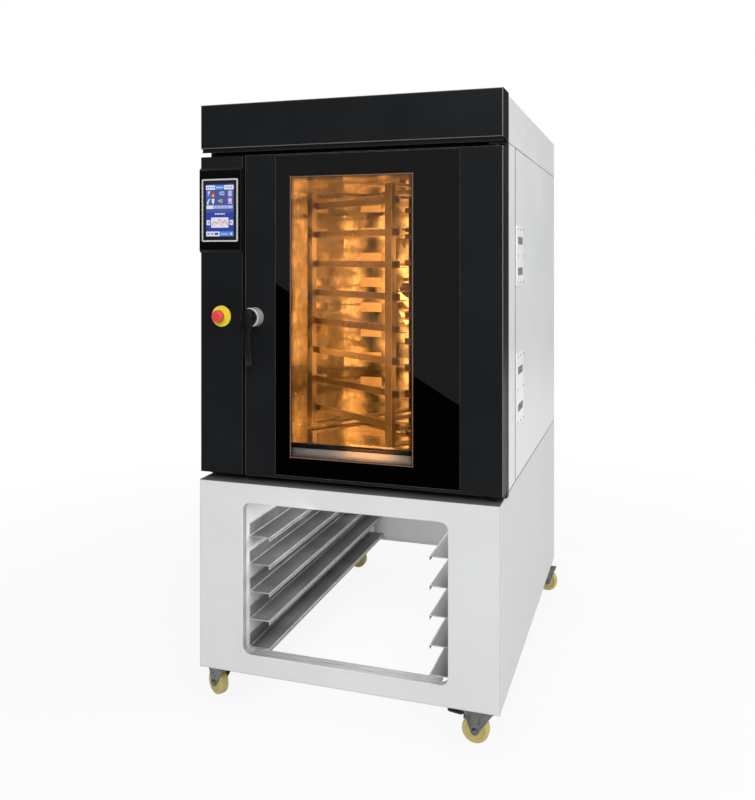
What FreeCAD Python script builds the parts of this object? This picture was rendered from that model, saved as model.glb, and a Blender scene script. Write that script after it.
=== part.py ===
import FreeCAD, Part
import math
import os
from FreeCAD import Vector

# Bakery convection oven on a wheeled tray stand, in millimetres.
# X runs to the right, Z up from the floor. Depths run from the stand's front to the rear,
# and every finished piece moves by depth_shift so that the origin lies under the middle.

# Cabinet and sheet metal
cabinet_width = 950.0
cabinet_depth = 1335.0
front_overhang = 7.0
sheet = 2.0
fold = 20.0
cut_overrun = 5.0
running_gap = 0.4
bore_clearance = 0.05
parallel_share = 1e-6

# Tray stand
stand_height = 590.0
stand_jamb_width = 149.0
stand_opening_height = 469.0
stand_opening_rise = 60.0
stand_opening_radius = 25.0
stand_opening_lip = 25.0
stand_sill_depth = 48.0
stand_rear_rise = 4.0
rail_height = 30.0
rail_sheet = 3.0
inner_wall_end_gap = 30.0
runner_count = 5
runner_rise = 62.0
runner_pitch = 87.0
runner_ledge = 68.0
runner_upright = 40.0
runner_lip = 12.0
runner_sheet = 2.0
runner_end_gap = 105.0
runner_setback = 2.0

# Casters
caster_height = 117.0
caster_inset_side = 50.0
caster_inset_end = 62.0
caster_plate_length = 95.0
caster_plate_width = 80.0
caster_plate_sheet = 4.0
race_radius = 25.0
race_height = 10.0
kingpin_radius = 6.0
crown_radius = 27.0
crown_height = 8.0
bridge_sheet = 4.0
fork_sheet = 3.0
fork_nose = 24.0
fork_tail = 64.0
fork_boss_radius = 13.0
fork_waist = 13.0
wheel_radius = 40.0
wheel_width = 30.0
wheel_edge_radius = 7.0
wheel_dish = 3.0
wheel_rim = 12.0
wheel_side_gap = 2.0
caster_trail = 30.0
axle_radius = 5.0
axle_nut_radius = 9.0
axle_nut_height = 6.0
pedal_pivot_reach = 22.0
pedal_pivot_rise = 43.5
pedal_pin_radius = 3.0
pedal_boss_radius = 6.0
pedal_sheet = 5.0
pedal_reach = 60.0
pedal_neck = 16.0
pedal_width = 44.0
pedal_corner_radius = 10.0
pedal_upturn = 5.0
pedal_side_gap = 1.0
shoe_reach = 12.0
shoe_start = 5.0
shoe_drop = 15.5
shoe_toe_drop = 10.0

# Heading of each caster as photographed: the side it trails to, in degrees about Z
caster_headings = {
    "front_left": 150.0,
    "front_right": 180.0,
    "rear_left": 0.0,
    "rear_right": 0.0,
}
braked_corner = "front_right"

# Door, column and front frame
door_setback = 16.0
door_foot_gap = 21.0
door_height = 995.0
door_thickness = 60.0
door_edge_radius = 4.0
column_width = 148.0
column_gap = 8.0
seal_gap = 8.0
frame_depth = 28.0
left_stile_width = 104.0
right_stile_width = 125.0
glass_thickness = 6.0
rail_lip_top = 4.0
rail_lip_bottom = 9.0
door_rail_height = 40.0
window_left_margin = 52.0
window_right_margin = 145.0
window_top_margin = 74.0
window_rise = 69.0
inner_glass_thickness = 5.0
inner_glass_margin = 10.0
inner_opening_left_gain = 36.0
inner_opening_right_gain = 14.0
inner_opening_top_gain = 12.0
inner_sill_height = 31.0
gasket_width = 16.0
gasket_margin = 12.0
gasket_radius = 18.0

# Door hinges
pivot_inset = 22.0
pivot_setback = 20.0
pivot_radius = 7.0
pivot_depth = 26.0
pivot_block_width = 36.0
pivot_block_height = 34.0
hinge_plate_width = 40.0
hinge_plate_sheet = 5.0
hinge_upright_height = 12.0
hinge_upright_sheet = 3.0
hinge_collar_radius = 11.0

# Handle and latch
handle_inset = 34.0
handle_drop = 502.0
rose_radius = 30.0
rose_height = 38.0
rose_bevel = 3.0
spindle_radius = 5.0
collar_radius = 26.0
collar_reach = 12.0
collar_round = 4.0
lever_length = 148.0
lever_width = 44.0
lever_depth = 24.0
lever_station_shares = (-0.19, -0.165, -0.1, 0.0, 0.12, 0.25, 0.42, 0.66, 0.85, 0.96, 1.0)
lever_width_shares = (0.34, 0.66, 0.93, 1.0, 0.87, 0.67, 0.57, 0.55, 0.58, 0.48, 0.26)
lever_depth_shares = (0.4, 0.66, 0.92, 1.0, 0.98, 0.9, 0.82, 0.78, 0.74, 0.6, 0.34)
lever_standoff_shares = (0.5, 0.5, 0.5, 0.5, 0.51, 0.53, 0.5, 0.37, 0.18, 0.04, -0.02)
tongue_length = 42.0
tongue_width = 14.0
tongue_sheet = 6.0
tongue_play = 3.0
keeper_margin = 24.0

# Hood
hood_gap = 26.0
hood_height = 139.0
hood_seam_gap = 3.0
lip_height = 12.0
lip_setback = 10.0
lip_end_inset = 2.0
vent_slot_count = 9
vent_slot_length = 300.0
vent_slot_width = 12.0
vent_slot_pitch = 28.0
vent_margin = 120.0

# Control column, screen and emergency stop
screen_raise = 10.0
screen_chamfer = 9.0
screen_housing_height = 268.0
screen_housing_drop = 35.0
bezel_width = 126.0
bezel_height = 197.0
bezel_band = 4.5
bezel_raise = 2.0
bezel_depth = 6.0
bezel_radius = 5.0
bezel_drop = 36.0
display_recess = 1.0
stop_plate_radius = 33.0
stop_plate_sheet = 2.0
stop_collar_radius = 15.0
stop_collar_height = 8.0
stop_plunger_radius = 9.0
stop_plunger_reach = 18.0
stop_plunger_tail = 40.0
stop_pin_radius = 5.0
stop_pin_length = 8.0
stop_head_radius = 20.0
stop_head_height = 16.0
stop_head_round = 8.0

# Side and rear panels
side_seam_depth = 277.0
side_seam_gap = 8.0
cover_raise = 4.0
cover_setback = 19.0
cover_length = 128.0
cover_edge_radius = 6.0
upper_cover_rise = 609.0
upper_cover_height = 188.0
lower_cover_rise = 168.0
lower_cover_height = 226.0
cover_window_length = 104.0
cover_window_height = 24.0
cover_window_share = 0.24
louvre_rows = 9
louvre_columns = 2
louvre_length = 260.0
louvre_height = 9.0
louvre_pitch = 30.0
louvre_drop = 160.0
gland_radius = 16.0
gland_hole_radius = 9.0
gland_reach = 22.0
gland_inset = 130.0
gland_rise = 110.0

# Cooking chamber
chamber_left_space = 140.0
chamber_right_space = 50.0
chamber_head_space = 63.0
rear_space = 207.0
chamber_rise = 93.0
mouth_left_margin = 100.0
mouth_right_margin = 40.0
fan_space = 198.0
support_width = 60.0
support_inset = 140.0
slot_length = 90.0
slot_height = 38.0
slot_inset = 73.0
slot_rise = 30.0
inlet_side_gap = 67.0
inlet_bar_count = 7
inlet_bar_width = 8.0
lamp_length = 130.0
lamp_height = 120.0
lamp_depth = 34.0
lamp_corner_radius = 16.0
lamp_window_length = 100.0
lamp_window_height = 90.0
lamp_window_radius = 12.0
lamp_pane = 4.0
lamp_pane_margin = 8.0
probe_radius = 4.0
probe_length = 60.0
probe_nut_radius = 10.0
probe_nut_height = 12.0
probe_offset = 105.0
probe_drop = 145.0

# Fan, motor and heater
impeller_radius = 200.0
impeller_hub_radius = 28.0
impeller_plate = 3.0
blade_count = 12
blade_root_radius = 95.0
blade_depth = 80.0
blade_sheet = 2.5
blade_sweep = 26.0
blade_bow = 7.0
fan_shaft_radius = 10.0
fan_wall_gap = 16.0
fan_shaft_reach = 60.0
motor_radius = 80.0
motor_length = 170.0
motor_flange_radius = 100.0
motor_flange_sheet = 8.0
heater_radius = 245.0
heater_tube_radius = 6.0
heater_turns = 2
heater_pitch = 40.0
heater_clip_width = 12.0
heater_clip_sheet = 3.0

# Turning rack
rack_levels = 8
rack_head_space = 82.0
rack_first_level = 66.0
rack_end_clearance = 158.0
rack_side_clearance = 153.0
rack_heading = -34.0
rack_depth_share = 0.475
rack_floor_gap = 8.0
rack_top_gap = 20.0
post_width = 34.0
post_depth = 16.0
post_sheet = 2.5
frame_bar = 26.0
frame_bar_height = 10.0
rack_hub_radius = 40.0
rack_runner_overhang = 38.0
rack_ledge = 26.0
rack_upright = 20.0
rack_runner_sheet = 2.0
rack_shaft_radius = 12.5
rack_shaft_grip = 45.0
pivot_stub_radius = 11.0
pivot_stub_flange_radius = 35.0
pivot_stub_flange_height = 6.0
gearbox_width = 110.0
gearbox_height = 70.0
gearmotor_radius = 42.0
gearmotor_length = 150.0

# Places worked out from the sizes above
half_width = cabinet_width / 2
front_half = half_width + front_overhang
stand_bottom = caster_height
stand_top = stand_bottom + stand_height
stand_panel_top = stand_top - sheet
opening_half = half_width - stand_jamb_width
opening_bottom = stand_bottom + stand_opening_rise
opening_top = opening_bottom + stand_opening_height
inner_wall_x = opening_half + sheet
door_front = door_setback
door_back = door_front + door_thickness
door_bottom = stand_top + door_foot_gap
door_top = door_bottom + door_height
door_right = front_half
door_left = -front_half + column_width + column_gap
glass_left = door_left + left_stile_width
glass_right = door_right - right_stile_width
glass_back = door_front + glass_thickness
frame_front = door_back + seal_gap
frame_back = frame_front + frame_depth
column_left = -front_half
column_right = door_left - column_gap
column_middle = (column_left + column_right) / 2
hood_bottom = door_top + hood_gap
hood_top = hood_bottom + hood_height
panel_top = hood_bottom - hood_seam_gap
base_top = stand_top + sheet
chamber_left = -half_width + chamber_left_space
chamber_right = half_width - chamber_right_space
chamber_width = chamber_right - chamber_left
chamber_offset = (chamber_left + chamber_right) / 2
chamber_floor_z = stand_top + chamber_rise
chamber_ceiling_z = door_top - chamber_head_space
chamber_height = chamber_ceiling_z - chamber_floor_z
mouth_left = chamber_left + mouth_left_margin
mouth_right = chamber_right - mouth_right_margin
fan_wall_y = cabinet_depth - rear_space
baffle_y = fan_wall_y - fan_space
chamber_depth = baffle_y - frame_back
fan_z = chamber_floor_z + chamber_height / 2
window_left = glass_left + window_left_margin
window_right = glass_right - window_right_margin
window_bottom = door_bottom + window_rise
window_top = door_top - window_top_margin
inner_opening_left = window_left - inner_opening_left_gain
inner_opening_right = window_right + inner_opening_right_gain
inner_opening_bottom = window_bottom + inner_sill_height
inner_opening_top = window_top + inner_opening_top_gain
pivot_x = door_right - pivot_inset
pivot_y = door_front + pivot_setback
handle_x = door_left + handle_inset
handle_z = door_top - handle_drop
hub_back = door_front - rose_height - running_gap
keeper_bottom = handle_z - tongue_width / 2 - keeper_margin
keeper_top = handle_z + tongue_length + keeper_margin
inlet_radius = chamber_width / 2 - slot_inset - slot_length - inlet_side_gap
rack_y = frame_back + chamber_depth * rack_depth_share
rack_room = min(chamber_width / 2, rack_y - frame_back)
rack_length = 2 * (rack_room - rack_end_clearance)
rack_span = 2 * (rack_room - rack_side_clearance)
rack_runner_length = rack_length + 2 * rack_runner_overhang
rack_pitch = (chamber_height - rack_first_level - rack_head_space) / (rack_levels - 1)
depth_shift = -(cabinet_depth + gland_reach + hub_back - lever_depth) / 2


# Shared shapes
def block(x0, x1, y0, y1, z0, z1):
    return Part.makeBox(x1 - x0, y1 - y0, z1 - z0, Vector(x0, y0, z0))


def rod(radius, start, end):
    run = end - start
    return Part.makeCylinder(radius, run.Length, start, run)


def prism(points, run):
    corners = points + [points[0]]
    return Part.Face(Part.makePolygon(corners)).extrude(run)


def fuse(shapes):
    return shapes[0].multiFuse(shapes[1:]).removeSplitter()


def edges_along(shape, direction):
    found = []
    for edge in shape.Edges:
        start = edge.Vertexes[0].Point
        end = edge.Vertexes[-1].Point
        run = end - start
        if run.Length > 0 and run.cross(direction).Length < parallel_share * run.Length:
            found.append(edge)
    return found


def rounded_slab(x0, x1, y0, y1, z0, z1, radius):
    slab = block(x0, x1, y0, y1, z0, z1)
    return slab.makeFillet(radius, edges_along(slab, Vector(0, 1, 0)))


def mirrored(shape):
    return shape.mirror(Vector(0, 0, 0), Vector(1, 0, 0))


def ring_slab(x0, x1, y0, y1, z0, z1, radius, band):
    outer = rounded_slab(x0, x1, y0, y1, z0, z1, radius)
    inner = block(x0 + band, x1 - band, y0 - cut_overrun, y1 + cut_overrun, z0 + band, z1 - band)
    return outer.cut(inner)


# Tray stand
def stand_front_panel():
    # A plate with a collar folded in round the opening and a deeper sill along its bottom.
    plate = block(-half_width, half_width, 0, sheet, stand_bottom, stand_panel_top)
    collar = rounded_slab(-opening_half - sheet, opening_half + sheet, 0, stand_opening_lip,
                          opening_bottom - sheet, opening_top + sheet, stand_opening_radius + sheet)
    hole = rounded_slab(-opening_half, opening_half, -cut_overrun, stand_opening_lip + cut_overrun,
                        opening_bottom, opening_top, stand_opening_radius)
    sill_half = opening_half - stand_opening_radius
    sill = block(-sill_half, sill_half, 0, stand_sill_depth, opening_bottom - sheet, opening_bottom)
    return fuse([plate.fuse(collar).cut(hole), sill])


def stand_side_panel():
    wall = block(half_width - sheet, half_width, sheet, cabinet_depth, stand_bottom, stand_panel_top)
    flange = block(half_width - fold, half_width, sheet, cabinet_depth - sheet,
                   stand_panel_top - sheet, stand_panel_top)
    return fuse([wall, flange])


def stand_rear_panel():
    reach = half_width - sheet
    bottom = stand_bottom + stand_rear_rise
    wall = block(-reach, reach, cabinet_depth - sheet, cabinet_depth, bottom, stand_panel_top)
    lip = block(-inner_wall_x, inner_wall_x, cabinet_depth - stand_opening_lip, cabinet_depth,
                bottom, bottom + sheet)
    return fuse([wall, lip])


def stand_top_panel():
    return block(-half_width, half_width, 0, cabinet_depth, stand_panel_top, stand_top)


def caster_rail():
    x0 = inner_wall_x
    x1 = half_width - sheet
    y1 = cabinet_depth - sheet
    top = stand_bottom + rail_height
    outer = block(x0, x1, sheet, y1, stand_bottom, top)
    trough = block(x0 + rail_sheet, x1 - rail_sheet, sheet - cut_overrun, y1 + cut_overrun,
                   stand_bottom + rail_sheet, top + cut_overrun)
    return outer.cut(trough)


def inner_wall():
    y0 = stand_opening_lip
    y1 = cabinet_depth - inner_wall_end_gap
    return block(inner_wall_x, inner_wall_x + sheet, y0, y1, stand_bottom + rail_height, stand_panel_top)


def tray_runners():
    # A folded strip: upright against the inner wall, ledge under the tray, lip turned down.
    y0 = stand_sill_depth + runner_setback
    outer = inner_wall_x
    inner = outer - runner_sheet - runner_ledge
    length = cabinet_depth - runner_end_gap - y0
    runners = []
    for level in range(runner_count):
        z = stand_bottom + runner_rise + level * runner_pitch
        profile = [
            Vector(outer, y0, z + runner_upright),
            Vector(outer, y0, z - runner_sheet),
            Vector(inner + runner_sheet, y0, z - runner_sheet),
            Vector(inner + runner_sheet, y0, z - runner_lip),
            Vector(inner, y0, z - runner_lip),
            Vector(inner, y0, z),
            Vector(outer - runner_sheet, y0, z),
            Vector(outer - runner_sheet, y0, z + runner_upright),
        ]
        runners.append(prism(profile, Vector(0, length, 0)))
    return Part.makeCompound(runners)


# Casters
caster_x = half_width - caster_inset_side
caster_places = {
    "front_left": Vector(-caster_x, caster_inset_end, 0),
    "front_right": Vector(caster_x, caster_inset_end, 0),
    "rear_left": Vector(-caster_x, cabinet_depth - caster_inset_end, 0),
    "rear_right": Vector(caster_x, cabinet_depth - caster_inset_end, 0),
}
race_top = caster_height - caster_plate_sheet
crown_top = race_top - race_height - running_gap
bridge_top = crown_top - crown_height
bridge_bottom = bridge_top - bridge_sheet
cheek_inner = wheel_width / 2 + wheel_side_gap
cheek_outer = cheek_inner + fork_sheet
pedal_pivot = Vector(caster_trail + pedal_pivot_reach, 0, wheel_radius + pedal_pivot_rise)


def caster_plate():
    plate = block(-caster_plate_length / 2, caster_plate_length / 2, -caster_plate_width / 2,
                  caster_plate_width / 2, race_top, caster_height)
    race = rod(race_radius, Vector(0, 0, race_top - race_height), Vector(0, 0, race_top))
    kingpin = rod(kingpin_radius, Vector(0, 0, bridge_bottom), Vector(0, 0, race_top))
    return fuse([plate, race, kingpin])


def caster_fork():
    # The swivel crown, the bridge over the wheel and two tapering cheeks, in one pressing.
    crown = rod(crown_radius, Vector(0, 0, bridge_top), Vector(0, 0, crown_top))
    bridge = block(-fork_nose, fork_tail, -cheek_outer, cheek_outer, bridge_bottom, bridge_top)
    pieces = [crown, bridge]
    for y in (-cheek_outer, cheek_inner):
        cheek = prism([
            Vector(-fork_nose, y, bridge_top),
            Vector(fork_tail, y, bridge_top),
            Vector(caster_trail + fork_waist, y, wheel_radius),
            Vector(caster_trail - fork_waist, y, wheel_radius),
        ], Vector(0, fork_sheet, 0))
        boss = rod(fork_boss_radius, Vector(caster_trail, y, wheel_radius),
                   Vector(caster_trail, y + fork_sheet, wheel_radius))
        pieces += [cheek, boss]
    fork = fuse(pieces)
    reach = cheek_outer + cut_overrun
    axle_hole = rod(axle_radius + bore_clearance, Vector(caster_trail, -reach, wheel_radius),
                    Vector(caster_trail, reach, wheel_radius))
    pin_hole = rod(pedal_pin_radius + bore_clearance, pedal_pivot + Vector(0, -reach, 0),
                   pedal_pivot + Vector(0, reach, 0))
    king_hole = rod(kingpin_radius + bore_clearance, Vector(0, 0, bridge_bottom - cut_overrun),
                    Vector(0, 0, crown_top + cut_overrun))
    return fork.cut(axle_hole).cut(pin_hole).cut(king_hole)


def caster_axle():
    # A bolt through both cheeks with a domed nut at each end.
    shank = rod(axle_radius, Vector(caster_trail, -cheek_outer, wheel_radius),
                Vector(caster_trail, cheek_outer, wheel_radius))
    pieces = [shank]
    for side in (-1, 1):
        start = Vector(caster_trail, side * cheek_outer, wheel_radius)
        nut = Part.makeCone(axle_nut_radius, axle_radius, axle_nut_height, start, Vector(0, side, 0))
        pieces.append(nut)
    return fuse(pieces)


def pedal_pin():
    return rod(pedal_pin_radius, pedal_pivot + Vector(0, -cheek_outer, 0),
               pedal_pivot + Vector(0, cheek_outer, 0))


def caster_wheel():
    half = wheel_width / 2
    edge = wheel_edge_radius
    rise = edge * (1 - math.sqrt(0.5))
    rim = wheel_radius - wheel_rim
    bore = axle_radius + bore_clearance
    crown_line = [
        Part.LineSegment(Vector(bore, -half, 0), Vector(rim - wheel_dish, -half + wheel_dish, 0)),
        Part.LineSegment(Vector(rim - wheel_dish, -half + wheel_dish, 0), Vector(rim, -half, 0)),
        Part.LineSegment(Vector(rim, -half, 0), Vector(wheel_radius - edge, -half, 0)),
        Part.Arc(Vector(wheel_radius - edge, -half, 0), Vector(wheel_radius - rise, -half + rise, 0),
                 Vector(wheel_radius, -half + edge, 0)),
        Part.LineSegment(Vector(wheel_radius, -half + edge, 0), Vector(wheel_radius, half - edge, 0)),
        Part.Arc(Vector(wheel_radius, half - edge, 0), Vector(wheel_radius - rise, half - rise, 0),
                 Vector(wheel_radius - edge, half, 0)),
        Part.LineSegment(Vector(wheel_radius - edge, half, 0), Vector(rim, half, 0)),
        Part.LineSegment(Vector(rim, half, 0), Vector(rim - wheel_dish, half - wheel_dish, 0)),
        Part.LineSegment(Vector(rim - wheel_dish, half - wheel_dish, 0), Vector(bore, half, 0)),
        Part.LineSegment(Vector(bore, half, 0), Vector(bore, -half, 0)),
    ]
    section = Part.Face(Part.Wire([line.toShape() for line in crown_line]))
    wheel = section.revolve(Vector(0, 0, 0), Vector(0, 1, 0), 360)
    wheel.translate(Vector(caster_trail, 0, wheel_radius))
    return wheel


def brake_pedal():
    # A sheet lever on a cross pin, with a shoe that comes down towards the tread.
    x = pedal_pivot.x
    z = pedal_pivot.z
    arm_half = cheek_inner - pedal_side_gap
    top = z + pedal_sheet / 2
    bottom = z - pedal_sheet / 2
    boss = rod(pedal_boss_radius, pedal_pivot + Vector(0, -arm_half, 0),
               pedal_pivot + Vector(0, arm_half, 0))
    arm = block(x, x + pedal_neck, -arm_half, arm_half, bottom, top)
    tread = prism([
        Vector(x + pedal_neck, -pedal_width / 2, bottom),
        Vector(x + pedal_reach, -pedal_width / 2, bottom + pedal_upturn),
        Vector(x + pedal_reach, -pedal_width / 2, top + pedal_upturn),
        Vector(x + pedal_neck, -pedal_width / 2, top),
    ], Vector(0, pedal_width, 0))
    ends = [edge for edge in edges_along(tread, Vector(0, 0, 1)) if edge.Vertexes[0].X > x + pedal_neck]
    tread = tread.makeFillet(pedal_corner_radius, ends)
    shoe = prism([
        Vector(x + shoe_start, -arm_half, z),
        Vector(x + shoe_reach, -arm_half, z),
        Vector(x + shoe_reach, -arm_half, z - shoe_drop),
        Vector(x + shoe_start, -arm_half, z - shoe_toe_drop),
    ], Vector(0, 2 * arm_half, 0))
    hole = rod(pedal_pin_radius + bore_clearance, pedal_pivot + Vector(0, -cheek_outer, 0),
               pedal_pivot + Vector(0, cheek_outer, 0))
    return fuse([boss, arm, tread, shoe]).cut(hole)


def on_caster(shape, corner):
    placed = shape.copy()
    placed.rotate(Vector(0, 0, 0), Vector(0, 0, 1), caster_headings[corner])
    placed.translate(caster_places[corner])
    return placed


# Cabinet
def base_panel():
    return block(-half_width, half_width, frame_back, cabinet_depth, stand_top, base_top)


def right_side_panels():
    # A narrow corner panel and the main panel, both folded inwards at the seam between them.
    inner = half_width - sheet
    before = side_seam_depth - side_seam_gap / 2
    after = side_seam_depth + side_seam_gap / 2
    fold_top = panel_top - fold
    corner_wall = block(inner, half_width, frame_back, before, base_top, panel_top)
    corner_fold = block(half_width - fold, half_width, before - sheet, before, base_top, fold_top)
    main_wall = block(inner, half_width, after, cabinet_depth - sheet, base_top, panel_top)
    main_fold = block(half_width - fold, half_width, after, after + sheet, base_top, fold_top)
    return Part.makeCompound([fuse([corner_wall, corner_fold]), fuse([main_wall, main_fold])])


def rear_panel():
    panel = block(-half_width, half_width, cabinet_depth - sheet, cabinet_depth, base_top, panel_top)
    slots = []
    for column in range(louvre_columns):
        middle = half_width * (2 * column + 1 - louvre_columns) / louvre_columns
        for row in range(louvre_rows):
            z = hood_bottom - louvre_drop - row * louvre_pitch
            slots.append(block(middle - louvre_length / 2, middle + louvre_length / 2,
                               cabinet_depth - cut_overrun, cabinet_depth + cut_overrun,
                               z - louvre_height / 2, z + louvre_height / 2))
    gland_place = Vector(half_width - gland_inset, cabinet_depth, base_top + gland_rise)
    slots.append(rod(gland_hole_radius, gland_place + Vector(0, -cut_overrun, 0),
                     gland_place + Vector(0, cut_overrun, 0)))
    return panel.cut(Part.makeCompound(slots))


def cable_gland():
    place = Vector(half_width - gland_inset, cabinet_depth, base_top + gland_rise)
    body = Part.makeCone(gland_radius, gland_hole_radius + sheet, gland_reach, place, Vector(0, 1, 0))
    bore = rod(gland_hole_radius, place + Vector(0, -cut_overrun, 0),
               place + Vector(0, gland_reach + cut_overrun, 0))
    return body.cut(bore)


def front_frame():
    # Flat strips and edge returns welded round the chamber mouth, open at the left for the latch keeper.
    inner_left = mouth_left - sheet
    inner_right = mouth_right + sheet
    inner_bottom = chamber_floor_z - sheet
    inner_top = chamber_ceiling_z + sheet
    reach = front_half - sheet
    skin_back = frame_front + sheet
    low = stand_top + sheet
    high = hood_bottom - sheet
    collar = block(inner_left, inner_right, frame_front, frame_back, inner_bottom, inner_top)
    back = block(chamber_left - sheet, chamber_right + sheet, frame_back - sheet, frame_back,
                 inner_bottom, inner_top)
    mouth = block(mouth_left, mouth_right, frame_front - cut_overrun, frame_back + cut_overrun,
                  chamber_floor_z, chamber_ceiling_z)
    return Part.makeCompound([
        collar.fuse(back).cut(mouth).removeSplitter(),
        block(-front_half, -reach, frame_front, frame_back, stand_top, hood_bottom),
        block(reach, front_half, frame_front, frame_back, stand_top, hood_bottom),
        block(-reach, reach, frame_front, frame_back, stand_top, low),
        block(-reach, reach, frame_front, frame_back, high, hood_bottom),
        block(-reach, inner_left, frame_front, skin_back, low, keeper_bottom),
        block(-reach, inner_left, frame_front, skin_back, keeper_top, high),
        block(inner_right, reach, frame_front, skin_back, low, high),
        block(inner_left, inner_right, frame_front, skin_back, low, inner_bottom),
        block(inner_left, inner_right, frame_front, skin_back, inner_top, high),
    ])


def latch_keeper():
    # Two jaws in the frame's left strip: the spindle turns in their gap, the tongue closes behind one.
    half_gap = tongue_width / 2 + tongue_play
    jaws = []
    for x0, x1 in ((sheet - front_half, handle_x - half_gap), (handle_x + half_gap, mouth_left - sheet)):
        jaws.append(block(x0, x1, frame_front, frame_front + sheet, keeper_bottom, keeper_top))
    return Part.makeCompound(jaws)


# Hood
def hood_shell():
    # A box open below; its skirt stands inside the side and rear panels and leaves a dark seam above them.
    shell = block(-half_width, half_width, frame_back, cabinet_depth, hood_bottom, hood_top)
    shell = shell.cut(block(-half_width + sheet, half_width - sheet,
                            frame_back + sheet, cabinet_depth - sheet,
                            hood_bottom - cut_overrun, hood_top - sheet))
    slots = []
    for index in range(vent_slot_count):
        y = cabinet_depth - vent_margin - index * vent_slot_pitch
        slots.append(block(-vent_slot_length / 2, vent_slot_length / 2, y - vent_slot_width / 2,
                           y + vent_slot_width / 2, hood_top - sheet - cut_overrun, hood_top + cut_overrun))
    reach = half_width - sheet
    rear = cabinet_depth - sheet
    front = frame_back + 2 * sheet
    skirt = block(-reach, reach, front, rear, hood_bottom - fold, hood_bottom + fold)
    skirt = skirt.cut(block(sheet - reach, reach - sheet, front - cut_overrun, rear - sheet,
                            hood_bottom - fold - cut_overrun, hood_bottom + fold + cut_overrun))
    return fuse([shell.cut(Part.makeCompound(slots)), skirt])


def hood_fascia():
    # A shallow box open at the rear, with eased front edges and a drip lip set back below.
    box = block(-front_half, front_half, door_front, frame_back, hood_bottom, hood_top)
    front_edges = [edge for edge in box.Edges
                   if max(vertex.Y for vertex in edge.Vertexes) < door_front + sheet]
    box = box.makeFillet(door_edge_radius, front_edges)
    inside = block(-front_half + sheet, front_half - sheet, door_front + sheet, frame_back + cut_overrun,
                   hood_bottom + sheet, hood_top - sheet)
    inside = inside.makeFillet(door_edge_radius - sheet, [
        edge for edge in inside.Edges
        if max(vertex.Y for vertex in edge.Vertexes) < door_front + 2 * sheet])
    lip_y = door_front + lip_setback
    lip = block(-front_half + lip_end_inset, front_half - lip_end_inset, lip_y, lip_y + sheet,
                hood_bottom - lip_height, hood_bottom + sheet)
    return fuse([box.cut(inside), lip])


# Control column
screen_top = door_top - screen_housing_drop
screen_bottom = screen_top - screen_housing_height
screen_front = door_front - screen_raise
bezel_top = screen_top - bezel_drop
bezel_bottom = bezel_top - bezel_height
bezel_left = column_middle - bezel_width / 2
bezel_right = column_middle + bezel_width / 2
bezel_back = screen_front - bezel_raise + bezel_depth
stop_centre = Vector(column_middle, door_front, handle_z)
stop_front = door_front - stop_plunger_reach


def control_column():
    column = block(column_left, column_right, door_front, frame_front, door_bottom, door_top)
    corners = [edge for edge in edges_along(column, Vector(0, 0, 1))
               if edge.Vertexes[0].Y < door_front + sheet]
    column = column.makeFillet(door_edge_radius, corners)
    inside = block(column_left + sheet, column_right - sheet, door_front + sheet, frame_front + cut_overrun,
                   door_bottom + sheet, door_top - sheet)
    stop_hole = rod(stop_plunger_radius + sheet, stop_centre + Vector(0, -cut_overrun, 0),
                    stop_centre + Vector(0, sheet + cut_overrun, 0))
    corners = [edge for edge in edges_along(inside, Vector(0, 0, 1))
               if edge.Vertexes[0].Y < door_front + 2 * sheet]
    inside = inside.makeFillet(door_edge_radius - sheet, corners)
    return column.cut(inside).cut(stop_hole)


def screen_housing():
    # A raised pod whose top and bottom slope back to the column.
    pod = prism([
        Vector(column_left, door_front, screen_bottom),
        Vector(column_left, screen_front, screen_bottom + screen_chamfer),
        Vector(column_left, screen_front, screen_top - screen_chamfer),
        Vector(column_left, door_front, screen_top),
    ], Vector(column_right - column_left, 0, 0))
    corners = [edge for edge in edges_along(pod, Vector(0, 0, 1))
               if edge.Vertexes[0].Y < screen_front + sheet]
    pod = pod.makeFillet(door_edge_radius, corners)
    pocket = rounded_slab(bezel_left, bezel_right, screen_front - cut_overrun, bezel_back,
                          bezel_bottom, bezel_top, bezel_radius)
    return pod.cut(pocket)


def screen_bezel():
    return ring_slab(bezel_left, bezel_right, screen_front - bezel_raise, bezel_back,
                     bezel_bottom, bezel_top, bezel_radius, bezel_band)


def display_glass():
    return block(bezel_left + bezel_band, bezel_right - bezel_band,
                 screen_front - bezel_raise + display_recess, bezel_back,
                 bezel_bottom + bezel_band, bezel_top - bezel_band)


def stop_plate():
    plate = rod(stop_plate_radius, stop_centre + Vector(0, -stop_plate_sheet, 0), stop_centre)
    collar = rod(stop_collar_radius, stop_centre + Vector(0, -stop_plate_sheet - stop_collar_height, 0),
                 stop_centre + Vector(0, -stop_plate_sheet, 0))
    bore = rod(stop_plunger_radius + bore_clearance,
               stop_centre + Vector(0, -stop_plate_sheet - stop_collar_height - cut_overrun, 0),
               stop_centre + Vector(0, cut_overrun, 0))
    return fuse([plate, collar]).cut(bore)


def stop_plunger():
    front = Vector(column_middle, stop_front, handle_z)
    barrel = rod(stop_plunger_radius, front, front + Vector(0, stop_plunger_tail, 0))
    pin = rod(stop_pin_radius, front + Vector(0, -stop_pin_length, 0), front)
    return fuse([barrel, pin])


def stop_head():
    # A mushroom with a flat back, a rolled front rim and a blind bore for the plunger's pin.
    back = Vector(column_middle, stop_front - running_gap, handle_z)
    front = Vector(column_middle, stop_front - stop_head_height, handle_z)
    head = rod(stop_head_radius, front, back)
    rim = [edge for edge in head.Edges if edge.BoundBox.YMax < front.y + stop_head_round / 2]
    head = head.makeFillet(stop_head_round, rim)
    bore = rod(stop_pin_radius + bore_clearance, Vector(column_middle, stop_front, handle_z),
               Vector(column_middle, stop_front - stop_pin_length - running_gap, handle_z))
    return head.cut(bore)


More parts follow.
